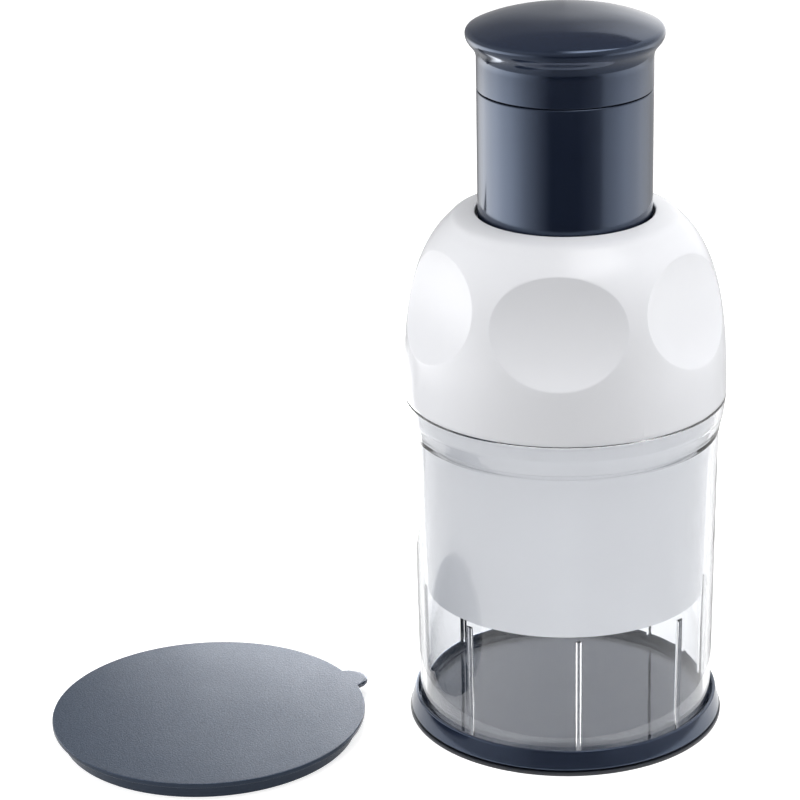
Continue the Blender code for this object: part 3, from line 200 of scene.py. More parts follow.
SETTINGS = {
    "chopper_knob": KnobSettings,
    "chopper_dome": DomeSettings,
    "chopper_container": ContainerSettings,
    "chopper_sleeve": SleeveSettings,
    "chopper_tray": TraySettings,
    "chopper_lid": LidSettings,
    "chopper_studio": StudioSettings,
}


# Profiles, each an array of (radius, height) points


def filleted(corners, segments=6, closed=True):
    """Rounds a profile's corners: each is (radius, height, rounding). An open one keeps its ends.

    With unit vectors a and b from the corner to its neighbours and w the angle between them, the
    arc's centre is corner + (a + b)/|a + b| * rounding / sin(w/2), and it touches the sides
    rounding / tan(w/2) away, but never past their middles. One more point on each side keeps the
    flat faces' shading flat.
    """
    support, most_of_side = 0.25 * MM, 0.49
    corners = np.asarray(corners, float)
    points, rounding = corners[:, :2], corners[:, 2]
    before, after = np.roll(points, 1, axis=0), np.roll(points, -1, axis=0)
    length_a = np.linalg.norm(before - points, axis=1, keepdims=True)
    length_b = np.linalg.norm(after - points, axis=1, keepdims=True)
    a, b = (before - points) / length_a, (after - points) / length_b
    half = np.arccos(np.clip((a * b).sum(1), -1.0, 1.0)) / 2
    half = np.clip(half, 0.02, math.pi / 2 - 0.002)
    touch = np.minimum(rounding / np.tan(half), most_of_side * np.minimum(length_a, length_b)[:, 0])
    rounding = touch * np.tan(half)
    middle = (a + b) / np.maximum(np.linalg.norm(a + b, axis=1, keepdims=True), 1e-9)
    centre = points + middle * (rounding / np.sin(half))[:, None]
    share = np.linspace(-1.0, 1.0, segments + 1)
    swing = (math.pi / 2 - half)[:, None] * share
    across = b - (b * middle).sum(1, keepdims=True) * middle
    across /= np.maximum(np.linalg.norm(across, axis=1, keepdims=True), 1e-9)
    arcs = centre[:, None] + rounding[:, None, None] * (
        -np.cos(swing)[..., None] * middle[:, None] + np.sin(swing)[..., None] * across[:, None]
    )
    room_a = np.minimum(touch + support, 0.5 * length_a[:, 0])
    room_b = np.minimum(touch + support, 0.5 * length_b[:, 0])
    lead = (points + a * room_a[:, None])[:, None]
    trail = (points + b * room_b[:, None])[:, None]
    rounded = np.concatenate([lead, arcs, trail], axis=1)
    if closed:
        return without_repeats(rounded.reshape(-1, 2))
    return without_repeats(np.vstack([points[:1], rounded[1:-1].reshape(-1, 2), points[-1:]]))


def without_repeats(points):
    """Drops each point that lies nearly on the one before it, and the first if it lies on the last."""
    least = 0.004 * MM
    step = np.linalg.norm(points - np.roll(points, 1, axis=0), axis=1)
    return points[step > least]


def cubic(handles, t):
    """Points on a cubic curve: the sum of binomial(3, i) t^i (1 - t)^(3 - i) handle_i."""
    start, first, second, end = map(np.asarray, handles)
    t = np.asarray(t)[..., None]
    return (1 - t) ** 3 * start + 3 * (1 - t) ** 2 * t * first + 3 * (1 - t) * t**2 * second + t**3 * end


# Meshes


def round_grid(radius, azimuths, height):
    """Points (r sin a, -r cos a, z) for radii, azimuths and heights that fit one grid."""
    radius, azimuths, height = np.broadcast_arrays(radius, azimuths, height)
    return np.stack([radius * np.sin(azimuths), -radius * np.cos(azimuths), height], axis=-1)


def quads(index, loop_rows=False, loop_columns=True):
    """Four-sided faces between neighbours in a grid of point numbers, whose rows or columns may loop."""
    if loop_rows:
        index = np.concatenate([index, index[:1]])
    if loop_columns:
        index = np.concatenate([index, index[:, :1]], axis=1)
    corners = [index[:-1, :-1], index[:-1, 1:], index[1:, 1:], index[1:, :-1]]
    return np.stack(corners, axis=-1).reshape(-1, 4)


def fan(centre, ring):
    """Triangles from one point to each pair of neighbours on a closed ring."""
    return np.stack([np.full(len(ring), centre), np.roll(ring, -1), ring], axis=-1)


def skinned(name, grid, loop_rows=True, poles=False):
    """Makes a closed mesh of a grid of points whose columns run round the piece.

    Row i and row i+1 are joined by quads, and the last row joins the first if the rows make a
    loop. With poles, the first and last rows are single points, joined by triangles.
    """
    rows, columns = grid.shape[:2]
    if not poles:
        index = np.arange(rows * columns).reshape(rows, columns)
        return new_mesh(name, grid.reshape(-1, 3), quads(index, loop_rows).tolist())
    points = np.concatenate([grid[0, :1], grid[1:-1].reshape(-1, 3), grid[-1, :1]])
    index = 1 + np.arange((rows - 2) * columns).reshape(rows - 2, columns)
    ends = [*fan(0, index[0]), *fan(len(points) - 1, index[-1][::-1])]
    return new_mesh(name, points, quads(index).tolist() + [end.tolist() for end in ends])


def new_mesh(name, points, faces):
    """A smooth-shaded mesh whose faces point outwards: its volume is summed and turned positive."""
    mesh = bpy.data.meshes.new(name)
    mesh.from_pydata(points.tolist(), [], faces)
    shape = bmesh.new()
    shape.from_mesh(mesh)
    bmesh.ops.remove_doubles(shape, verts=shape.verts, dist=1e-7)
    if shape.calc_volume(signed=True) < 0:
        bmesh.ops.reverse_faces(shape, faces=shape.faces)
    shape.to_mesh(mesh)
    shape.free()
    mesh.shade_smooth()
    return mesh


def turned(name, profile, steps=ROUND_STEPS):
    """Surface of revolution: the profile's points, repeated at even azimuths round the axis."""
    azimuths = np.linspace(0.0, math.tau, steps, endpoint=False)
    grid = round_grid(profile[:, :1], azimuths, profile[:, 1:])
    return skinned(name, grid, poles=bool(profile[0, 0] == 0.0))


def turned_corners(name, corners, steps=ROUND_STEPS, segments=6):
    """Revolves a closed loop of rounded corners; one that starts and ends on the axis closes there."""
    return turned(name, filleted(corners, segments, closed=corners[0][0] > 0.0), steps)


def joined(name, meshes):
    """One mesh holding several closed shells."""
    shape = bmesh.new()
    for mesh in meshes:
        shape.from_mesh(mesh)
    whole = bpy.data.meshes.new(name)
    shape.to_mesh(whole)
    shape.free()
    for mesh in meshes:
        bpy.data.meshes.remove(mesh)
    whole.shade_smooth()
    return whole


def place_piece(mesh, kind, body, node):
    """Puts a finished mesh into the scene: it rides on its body and stands for the solid named."""
    piece = bpy.data.objects.new(mesh.name, mesh)
    bpy.context.scene.collection.objects.link(piece)
    mesh.materials.append(finish(kind))
    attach(piece, body)
    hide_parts(node)
    return piece


# Finishes


def add_node(tree, kind, inputs=None, **fields):
    """Adds a shader node, sets its own fields, and gives its input sockets their values or links."""
    node = tree.nodes.new("ShaderNode" + kind)
    for field, value in fields.items():
        setattr(node, field, value)
    fill_sockets(tree, node, inputs or {})
    return node


def fill_sockets(tree, node, inputs):
    """Gives each named input socket of a node its value, or a link from another node's output."""
    for socket, value in inputs.items():
        if isinstance(value, bpy.types.NodeSocket):
            tree.links.new(value, node.inputs[socket])
        else:
            node.inputs[socket].default_value = value


def new_material(name):
    """A material with its tree, its own shader and Object coordinates."""
    material = bpy.data.materials.new(name)
    material.use_nodes = True
    tree = material.node_tree
    return material, tree, tree.nodes["Principled BSDF"], add_node(tree, "TexCoord").outputs["Object"]


def show(tree, surface):
    """Makes a shader output the material's surface."""
    tree.links.new(surface, tree.nodes["Material Output"].inputs["Surface"])


def rgba(rgb):
    return (rgb[0], rgb[1], rgb[2], 1.0)


def seen_rays(tree):
    """1 for a ray that shows the background: from the camera, in a reflection or through a clear wall."""
    rays = add_node(tree, "LightPath").outputs
    seen = rays["Is Camera Ray"]
    for kind in ("Is Glossy Ray", "Is Transmission Ray"):
        seen = add_node(tree, "Math", {0: seen, 1: rays[kind]}, operation="MAXIMUM").outputs[0]
    return seen


def noise(tree, coordinates, size, detail, roughness=0.5):
    """A noise pattern whose broadest patches are about as large as the size given."""
    sockets = {"Vector": coordinates, "Scale": 1 / size, "Detail": detail, "Roughness": roughness}
    return add_node(tree, "TexNoise", sockets).outputs["Fac"]


def ramp(tree, value, start, end, low=0.0, high=1.0):
    """Turns a value that runs from start to end into one that runs from low to high, and stops there."""
    sockets = {"Value": value, "From Min": start, "From Max": end, "To Min": low, "To Max": high}
    return add_node(tree, "MapRange", sockets).outputs["Result"]


def dress(tree, shader, rgb, tone, rough, relief, mask=None, polished=0.2):
    """Gives a shader its colour, roughness and bump, each led by a pattern over the piece.

    tone holds a pattern and the factors of the colour where it is 0 and 1. rough holds a
    pattern, two of its values and the roughness at each, and polished where a mask is 0. relief
    holds a pattern, its strength and its depth.
    """
    pattern, darker, lighter = tone
    dark, light = [rgba([min(1.0, channel * factor) for channel in rgb]) for factor in (darker, lighter)]
    mix = add_node(tree, "Mix", {0: pattern, 6: dark, 7: light}, data_type="RGBA").outputs[2]
    gloss = ramp(tree, *rough)
    if mask is not None:
        gloss = add_node(tree, "Mix", {0: mask, 2: polished, 3: gloss}, data_type="FLOAT").outputs[0]
    bump = add_node(tree, "Bump", dict(zip(("Height", "Strength", "Distance"), relief))).outputs["Normal"]
    fill_sockets(tree, shader, {"Base Color": mix, "Roughness": gloss, "Normal": bump})


def moulded_gloss(name, rgb, ior, shine, polish, haze, ripple, reflection_tint="FFFFFF"):
    """Injection-moulded ABS from a polished tool.

    Melt flow leaves broad, faint streaks of tone about 40 mm long. The polish varies over
    about 15 mm, and the skin keeps a ripple about 3 mm wide, which breaks up long reflections.
    """
    material, tree, shader, coordinates = new_material(name)
    flow = noise(tree, coordinates, 40 * MM, 3.0)
    wear = noise(tree, coordinates, 15 * MM, 6.0)
    skin = noise(tree, coordinates, 3 * MM, 1.0)
    dress(tree, shader, rgb, (flow, 0.96, 1.04), (wear, 0.35, 0.7, polish, haze), (skin, ripple, 0.05 * MM))
    # The Specular Tint here is a painted blue cast in the reflections, not the plastic's own colour
    sockets = {"IOR": ior, "Specular IOR Level": shine, "Specular Tint": rgba(linear_rgb(reflection_tint))}
    fill_sockets(tree, shader, sockets)
    return material


def grained_lid(rgb, plate_height):
    """Injection-moulded ABS lid: spark-eroded grain on its top, polished on its rim and skirt.

    The real grain is about 0.3 mm; it is drawn at 0.6 mm, which is as fine as the picture shows.
    Grain is only where the surface is flat and at the plate's height.
    """
    material, tree, shader, coordinates = new_material("moulded ABS, grained")
    height = add_node(tree, "SeparateXYZ", {"Vector": coordinates}).outputs["Z"]
    on_top = ramp(tree, height, plate_height - 0.25 * MM, plate_height - 0.05 * MM)
    grain = noise(tree, coordinates, 0.6 * MM, 3.0, 0.6)
    grain = add_node(tree, "Math", {0: grain, 1: on_top}, operation="MULTIPLY").outputs["Value"]
    speckle = ramp(tree, grain, 0.36, 0.64)
    smear = (noise(tree, coordinates, 22 * MM, 4.0), 0.3, 0.7, 0.36, 0.44)
    dress(tree, shader, rgb, (speckle, 0.62, 1.4), smear, (grain, 1.0, 0.1 * MM), on_top)
    # Its Specular Tint is a painted blue cast in the reflections, not the plastic's own colour
    fill_sockets(tree, shader, {"IOR": 1.54, "Specular Tint": rgba(linear_rgb("C4D8FF"))})
    return material


def clear_plastic(rgb):
    """Moulded clear SAN: as clear as glass, with a faint ripple where the melt met the tool.

    Its shadow is let through, because light passes such a thin wall nearly unweakened.
    """
    material, tree, shader, coordinates = new_material("moulded clear SAN")
    wear, ripple = noise(tree, coordinates, 12 * MM, 5.0), noise(tree, coordinates, 9 * MM, 1.0)
    bump = {"Height": ripple, "Strength": 0.12, "Distance": 0.1 * MM}
    sockets = {
        "Base Color": rgba(rgb),
        "Transmission Weight": 1.0,
        "Specular IOR Level": 0.38,
        "IOR": 1.50,
        "Roughness": ramp(tree, wear, 0.4, 0.75, 0.0, 0.05),
        "Normal": add_node(tree, "Bump", bump).outputs["Normal"],
    }
    fill_sockets(tree, shader, sockets)
    shadow = add_node(tree, "LightPath").outputs["Is Shadow Ray"]
    passing = add_node(tree, "BsdfTransparent", {"Color": (0.93, 0.945, 0.95, 1.0)}).outputs["BSDF"]
    mixed = add_node(tree, "MixShader", {0: shadow, 1: shader.outputs["BSDF"], 2: passing})
    show(tree, mixed.outputs["Shader"])
    return material


def rolled_steel(name, rgb, stretch, rough):
    """Stainless strip or wire: fine drawing marks run along it, 1.2 mm apart before the stretch.

    On the blades the stretch narrows them to 0.15 mm.
    """
    material, tree, shader, coordinates = new_material(name)
    along = add_node(tree, "Mapping", {"Vector": coordinates, "Scale": stretch}).outputs["Vector"]
    marks = noise(tree, along, 1.2 * MM, 5.0, 0.65)
    spread = (marks, 0.3, 0.7, rough * 0.75, rough * 1.3)
    dress(tree, shader, rgb, (marks, 0.88, 1.06), spread, (marks, 0.25, 0.02 * MM))
    shader.inputs["Metallic"].default_value = 1.0
    return material


def satin_plastic(name, rgb, rough, grain, strength):
    """Moulded acetal or soft elastomer: dull, with a fine even grain of the size given."""
    material, tree, shader, coordinates = new_material(name)
    grit = noise(tree, coordinates, grain, 4.0, 0.6)
    spread = (grit, 0.3, 0.7, rough * 0.9, min(1.0, rough * 1.1))
    dress(tree, shader, rgb, (grit, 0.9, 1.1), spread, (grit, strength, 0.05 * MM))
    shader.inputs["IOR"].default_value = 1.48
    return material


# The last colour paints a blue cast into the dark plastic's reflections
DARK_GLOSS = {"ior": 1.8, "shine": 0.5, "polish": 0.09, "haze": 0.15, "ripple": 0.08, "reflection_tint": "CCDFFF"}
WHITE_GLOSS = {"ior": 1.54, "shine": 0.36, "polish": 0.18, "haze": 0.21, "ripple": 0.04}
DRAWN_ALONG, DRAWN_EVENLY = (1.0, 1.0, 8.0), (1.0, 1.0, 1.0)

MAKERS = {
    "anthracite": lambda scene: moulded_gloss(
        "moulded ABS, anthracite gloss", scene.chopper_knob.body, **DARK_GLOSS
    ),
    "white": lambda scene: moulded_gloss("moulded ABS, white gloss", scene.chopper_dome.body, **WHITE_GLOSS),
    # The sleeve's white is lighter than the dome's: painted light that makes up for the light the clear wall
    # takes
    "sleeve": lambda scene: moulded_gloss(
        "moulded ABS, white gloss painted lighter", scene.chopper_sleeve.body, **WHITE_GLOSS
    ),
    "grained": lambda scene: grained_lid(scene.chopper_lid.body, top("storage_lid")),
    "clear": lambda scene: clear_plastic(scene.chopper_container.body),
    "pad": lambda scene: satin_plastic(
        "moulded elastomer", scene.chopper_tray.pad_colour, 0.42, 0.5 * MM, 0.25
    ),
    "acetal": lambda scene: satin_plastic("moulded acetal", linear_rgb("CFD1D3"), 0.42, 0.8 * MM, 0.2),
    "steel": lambda scene: rolled_steel("rolled stainless steel", linear_rgb("CFCFCD"), DRAWN_ALONG, 0.24),
    "wire": lambda scene: rolled_steel("drawn spring steel", linear_rgb("C6C5C2"), DRAWN_EVENLY, 0.22),
}
FINISHES = {}


def finish(kind):
    """Each finish is made once and shared by the pieces that have it."""
    if kind not in FINISHES:
        FINISHES[kind] = MAKERS[kind](bpy.context.scene)
    return FINISHES[kind]


# Pieces


class CHOPPER_OT_knob(bpy.types.Operator):
    """Make the palm knob: face that falls as radius cubed, rolled rim, cove, neck, plug in the tube"""

    bl_idname = "chopper.knob"
    bl_label = "Knob"

    def execute(self, context):
        size = context.scene.chopper_knob
        rim, neck = size.rim_radius, size.neck_radius
        face_radius = rim - 0.8 * MM
        across = np.linspace(0.0, rim - size.rim_round, 34)
        crown = np.stack([across, size.crown_top - size.crown_rise * (across / face_radius) ** 3], axis=-1)
        slope = math.atan(3 * size.crown_rise / face_radius)
        side, foot = (rim, crown[-1, 1] - 1.5 * size.rim_round), (neck, size.cove_bottom)
        leaving = crown[-1] + 0.9 * MM * np.array([math.cos(slope), -math.sin(slope)])
        arriving = (rim, side[1] + 0.7 * size.rim_round)
        rolled = cubic([crown[-1], leaving, arriving, side], np.linspace(0, 1, 9))
        drop = side[1] - foot[1]
        handles = [side, (rim, side[1] - 0.42 * drop), (neck + 0.05 * MM, foot[1] + 0.55 * drop), foot]
        cove = cubic(handles, np.linspace(0, 1, 16))
        seam = top("plunger_tube") + 0.3 * MM
        plug, plug_radius = bottom("knob"), neck - 2.5 * MM
        bore = neck - 2 * size.wall + 1.2 * MM
        inner_top = size.crown_top - size.wall
        inside = filleted(
            [
                (neck, size.cove_bottom - 1.0 * MM, 0.0),
                (neck, seam, 0.3 * MM),
                (plug_radius, seam, 0.0),
                (plug_radius, plug, 0.3 * MM),
                (bore, plug, 0.3 * MM),
                (bore, inner_top - 3.4 * MM, 2.0 * MM),
                (0.0, inner_top, 0.0),
            ],
            4,
            closed=False,
        )
        mesh = turned("knob_surface", np.vstack([crown, rolled[1:], cove[1:], inside]))
        place_piece(mesh, "anthracite", "plunger", "knob")
        return {"FINISHED"}


class CHOPPER_OT_tube(bpy.types.Operator):
    """Make the plunger tube: its wall, the deck and bush boss inside it, and the guide lugs"""

    bl_idname = "chopper.tube"
    bl_label = "Plunger tube"

    def execute(self, context):
        radius = context.scene.chopper_knob.neck_radius
        bore = radius - 2.3 * MM
        low, high = bottom("plunger_tube"), top("plunger_tube")
        deck = bottom("shaft_washer") - 4.8 * MM
        deck_top = deck + 2.4 * MM
        boss, bush_bore, boss_foot = 11.0 * MM, 8.3 * MM, deck - 8.7 * MM
        edge = 0.3 * MM
        wall = turned_corners(
            "tube_wall",
            [
                (radius, high, edge),
                (radius, low, edge),
                (bore, low, edge),
                (bore, deck, 1.0 * MM),
                (boss, deck, 0.5 * MM),
                (boss, boss_foot, edge),
                (bush_bore, boss_foot, edge),
                (bush_bore, deck_top, edge),
                (bore, deck_top, 0.5 * MM),
                (bore, high, edge),
            ],
        )
        lug_turn, lug_top, lug_size = 87.6, top("guide_frame"), 6.0 * MM
        lug = (radius - 1.2 * MM, radius + 2.6 * MM, lug_size, lug_top - lug_size, lug_top)
        lugs = [rounded_block(f"lug_{i}", *lug, math.radians(lug_turn + 120.0 * i)) for i in range(3)]
        mesh = joined("tube_surface", [wall, *lugs])
        place_piece(mesh, "anthracite", "plunger", "plunger_tube")
        return {"FINISHED"}


def rounded_block(name, inner, outer, width, low, high, azimuth):
    """A superellipsoid block: |x/a|^8 + |y/b|^8 + |z/c|^8 = 1, turned to its azimuth.

    A unit ball's point (x, y, z) is scaled by 1 / (|x|^8 + |y|^8 + |z|^8)^(1/8).
    """
    around = np.linspace(0.0, math.tau, 32, endpoint=False)
    upward = np.linspace(0.0, math.pi, 17)[:, None]
    flat = np.sin(upward)
    ball = np.stack([flat * np.cos(around), flat * np.sin(around), np.cos(upward) + 0 * around], axis=-1)
    ball = ball / ((np.abs(ball) ** 8).sum(-1, keepdims=True)) ** 0.125
    out = (inner + outer) / 2 + ball[..., 1] * (outer - inner) / 2
    across = ball[..., 0] * width / 2
    rise = (low + high) / 2 + ball[..., 2] * (high - low) / 2
    x = out * math.sin(azimuth) + across * math.cos(azimuth)
    y = -out * math.cos(azimuth) + across * math.sin(azimuth)
    return skinned(name, np.stack([x, y, rise], axis=-1), poles=True)


def dome_curve(size, share):
    """Radius and height of the dome over its foot: two cubic curves that join at a share of 0.8.

    The first leaves the foot upright; the second goes on in its direction and lies down to the
    gentle slope of 10 degrees on which it meets the lip's rounding.
    """
    join, slope = 0.8, math.radians(10.0)
    share = np.asarray(share)
    foot = (size.radius, size.foot_edge)
    handles = [foot, (size.radius, size.shoulder), (43.2 * MM, 54.5 * MM), (31.4 * MM, 63.0 * MM)]
    wall = cubic(handles, np.minimum(share, join))
    meeting = cubic(handles, join)
    along = meeting - cubic(handles, join - 0.01)
    along /= np.linalg.norm(along)
    centre = np.array([size.opening + size.lip_round, size.lip_height - size.lip_round])
    end = centre + size.lip_round * np.array([math.sin(slope), math.cos(slope)])
    end_handle = end + 8.0 * MM * np.array([math.cos(slope), -math.sin(slope)])
    shoulder = [meeting, meeting + 3.4 * MM * along, end_handle, end]
    crown = cubic(shoulder, np.clip((share - join) / (1.0 - join), 0.0, 1.0))
    point = np.where((share < join)[..., None], wall, crown)
    return point[..., 0], point[..., 1]


def dimple_reach_at(size, height):
    """Distance of the dimple's floor from the axis plane: D - sqrt(R^2 - (z - z0)^2)."""
    axis_out = size.radius - size.dimple_reach + size.dimple_curve
    return axis_out - np.sqrt(size.dimple_curve**2 - (height - size.dimple_height) ** 2)


def dimple_border(size):
    """Curve shares at which a dimple starts and ends on its middle line, found by bisection."""
    ends = []
    for inside, outside in ((0.5, 0.0), (0.5, 1.0)):
        for _ in range(40):
            middle = (inside + outside) / 2
            radius, height = dome_curve(size, middle)
            if radius > dimple_reach_at(size, height):
                inside = middle
            else:
                outside = middle
        ends.append((inside + outside) / 2)
    return ends


def dome_sector(size, sides, rings=16):
    """Points of one sixth of the dome, laid out so that one ring lies exactly on the dimple's border.

    In the plane of turn from the dimple's middle and curve share, ring s runs straight from the
    centre (s=0) to the border (s=1) and on to the sector's edge (s=2). A point's radius is the
    dome's, or where it is less, the dimple floor's distance over the cosine of the turn. Rings
    lie close together at the border, so that it stays crisp.
    """
    half = math.pi / DIMPLES
    step = np.linspace(-1.0, 1.0, sides + 1)[:-1]
    one = np.ones_like(step)
    edge_turn = half * np.concatenate([step, one, -step, -one])
    edge_share = 0.5 + 0.5 * np.concatenate([-one, step, one, -step])
    low, high = dimple_border(size)
    centre_share, reach = (low + high) / 2, (high - low) / 2
    angle = np.arctan2((edge_share - 0.5) / 0.5, edge_turn / half)
    border_share = centre_share + reach * np.sin(angle)
    radius, height = dome_curve(size, border_share)
    cosine = np.clip(dimple_reach_at(size, height) / radius, -1.0, 1.0)
    border_turn = np.arccos(cosine) * np.sign(np.cos(angle))
    near = 0.035
    inner = [0.0, *np.linspace(0.1, 1.0 - 3 * near, rings), 1.0 - 2 * near, 1.0 - near, 1.0 - 0.4 * near]
    outer = [1.0, 1.0 + 0.8 * near, 1.0 + 2 * near, 1.0 + 4 * near, *np.linspace(1.0 + 8 * near, 2.0, rings)]
    s = np.array(inner)[:, None]
    turn_in, share_in = s * border_turn, centre_share + s * (border_share - centre_share)
    s = np.array(outer)[:, None] - 1.0
    turn_out = border_turn + s * (edge_turn - border_turn)
    share_out = border_share + s * (edge_share - border_share)
    turns = np.concatenate([turn_in, turn_out])
    radius, height = dome_curve(size, np.concatenate([share_in, share_out]))
    floor = dimple_reach_at(size, height) / np.cos(turns)
    inside = np.arange(len(turns))[:, None] < len(inner)
    return turns, np.where(inside, np.minimum(floor, radius), radius), height


class CHOPPER_OT_dome(bpy.types.Operator):
    """Make the domed housing: six finger dimples with crisp borders, rolled opening and inner wall"""

    bl_idname = "chopper.dome"
    bl_label = "Dome"

    def execute(self, context):
        size = context.scene.chopper_dome
        base, sides = bottom("dome_housing"), 28
        turns, radius, height = dome_sector(size, sides)
        middles = size.dimple_turn + np.arange(DIMPLES) * math.tau / DIMPLES
        dome = round_grid(radius, middles[:, None, None] + turns, base + height).reshape(-1, 3)
        index = np.arange(turns.size).reshape(turns.shape)
        first = (np.arange(DIMPLES) * turns.size)[:, None, None]
        faces = (first + quads(index[1:])).reshape(-1, 4).tolist()
        faces += (first + fan(0, index[1])).reshape(-1, 3).tolist()
        half = math.pi / DIMPLES
        azimuths = (middles[:, None] + np.linspace(-half, half, sides + 1)[:-1]).ravel()
        profile = self.lining(size, base)
        lining = round_grid(profile[:, :1], azimuths, profile[:, 1:])
        index = len(dome) + np.arange(lining[..., 0].size).reshape(lining.shape[:2])
        # Turned on its side, the grid gives faces that point the other way, as the lining's do
        faces += quads(index.T, loop_rows=True, loop_columns=False).tolist()
        shell = new_mesh("dome_shell", np.concatenate([dome, lining.reshape(-1, 3)]), faces)
        post_turn, low, high = 27.6, base - 0.2 * MM, base + 40.0 * MM
        posts = [turned_post(f"post_{i}", math.radians(post_turn + 120.0 * i), low, high) for i in range(3)]
        mesh = joined("dome_surface", [shell, *posts])
        place_piece(mesh, "white", "housing", "dome_housing")
        return {"FINISHED"}

    def lining(self, size, base):
        """Profile from the curve's end over the lip, down the opening, along the inner wall to the foot.

        The inner wall stays one wall thickness inside the deeper of dome and dimple.
        """
        wall, ceiling = 2.5 * MM, size.lip_height - 1.2 * MM
        lip = np.array([size.opening + size.lip_round, size.lip_height - size.lip_round])
        angles = np.radians(np.linspace(80.0, 180.0, 12))
        over = lip + size.lip_round * np.stack([np.cos(angles), np.sin(angles)], axis=-1)
        radius, rise = dome_curve(size, np.linspace(0.86, 0.02, 40))
        inside = np.stack([np.minimum(radius, dimple_reach_at(size, rise)) - wall, rise], axis=-1)
        inside = inside[rise < ceiling - 1.5 * MM]
        corners = np.array([[size.opening, ceiling], [inside[0, 0] - 1.5 * MM, ceiling]])
        bore, bevel = size.radius - wall, size.foot_edge
        foot = [[bore, 0.3 * MM], [bore, 0.0], [bore + 0.2 * MM, 0.0]]
        foot += [[size.radius - bevel, 0.0], [size.radius, bevel]]
        return np.vstack([over, corners, inside, foot]) + np.array([0.0, base])


def turned_post(name, azimuth, low, high):
    """A screw post: a hollow tube 8.4 mm across, moved out to its place on the posts' circle."""
    circle, outer, hole = 38.0 * MM, 4.2 * MM, 1.8 * MM
    corners = [(outer, high, 0.3 * MM), (outer, low, 0.2 * MM), (hole, low, 0.2 * MM), (hole, high, 0.0)]
    mesh = turned_corners(name, corners, 32, 3)
    mesh.transform(Matrix.Translation((circle * math.sin(azimuth), -circle * math.cos(azimuth), 0.0)))
    return mesh


class CHOPPER_OT_container(bpy.types.Operator):
    """Make the clear container: rounded foot, tapered wall, widening collar and inner ribs"""

    bl_idname = "chopper.container"
    bl_label = "Container"

    def execute(self, context):
        size = context.scene.chopper_container
        profile, first_inner = self.profile(size)
        radius, height = profile[:, :1], profile[:, 1:]
        azimuths = self.columns(size)
        pitch = math.tau / size.rib_count
        nearest = (azimuths - size.rib_turn + pitch / 2) % pitch - pitch / 2
        across = nearest * (size.foot_radius - size.wall)
        bulge = np.clip(1.0 - np.abs(2 * across / size.rib_width) ** 3, 0.0, 1.0)
        rib_top, rounded = 46.3 * MM, 0.9 * MM
        reach = np.clip((rib_top - height) / rounded, 0.0, 1.0)
        reach = np.sqrt(1.0 - (1.0 - reach) ** 2)
        rib_foot, faded = bottom("container") + size.wall + 1.0 * MM, 3.0 * MM
        reach *= np.clip((height - rib_foot) / faded, 0.0, 1.0)
        reach[:first_inner] = 0.0
        grid = round_grid(radius - size.rib_depth * bulge * reach, azimuths, height)
        mesh = skinned("container_surface", grid, poles=True)
        place_piece(mesh, "clear", "container", "container")
        return {"FINISHED"}

    def profile(self, size):
        """The wall's profile from the middle underneath to the middle inside, and where its inside starts."""
        low, high = bottom("container"), top("container")
        neck = high - size.collar_height
        wall, edge, middle = size.wall, 0.35 * MM, 10.0 * MM
        outer = filleted(
            [
                (middle, low, 0.0),
                (size.foot_radius, low, size.foot_round),
                (size.neck_radius, neck - 0.35 * MM, 0.1 * MM),
                (size.neck_radius + 0.42 * MM, neck, 0.1 * MM),
                (size.neck_radius + 0.55 * MM, neck + 1.2 * MM, 1.0 * MM),
                (size.collar_radius - 0.75 * MM, neck + 5.4 * MM, 4.0 * MM),
                (size.collar_radius, high, edge),
                (size.collar_radius - wall, high, edge),
                (size.collar_radius - 0.75 * MM - wall, neck + 5.4 * MM, 4.0 * MM),
                (size.neck_radius - wall, neck - 1.4 * MM, 2.5 * MM),
                (size.neck_radius - wall, neck - 5.0 * MM, 0.0),
            ],
            5,
            closed=False,
        )
        start = outer[-1]
        foot = np.array([size.foot_radius - wall + 0.03 * MM, low + wall + 3.0 * MM])
        above_ribs = np.linspace(start[1], 47.5 * MM, 8)[1:]
        rib_tops = 47.0 * MM - 1.2 * MM * np.linspace(0, 1, 8)
        heights = np.concatenate([above_ribs, rib_tops, np.linspace(45.0 * MM, foot[1], 14)])
        slope = (start[0] - foot[0]) / (start[1] - foot[1])
        inner = np.stack([foot[0] + slope * (heights - foot[1]), heights], axis=-1)
        inside = low + wall
        corners = [(foot[0], foot[1], 0.0), (foot[0] - 0.03 * MM, inside, 2.0 * MM), (middle, inside, 0.0)]
        floor = filleted(corners, 8, closed=False)[1:]
        return np.vstack([[[0.0, low]], outer, inner, floor, [[0.0, inside]]]), 1 + len(outer)

    def columns(self, size):
        """Azimuths of the wall's columns: even between the ribs, and close together across each rib."""
        pitch = math.tau / size.rib_count
        half = 0.62 * size.rib_width / (size.foot_radius - size.wall)
        one = np.concatenate([np.linspace(-half, half, 13), np.linspace(half, pitch - half, 15)[1:-1]])
        return (size.rib_turn + np.arange(size.rib_count)[:, None] * pitch + one).ravel()


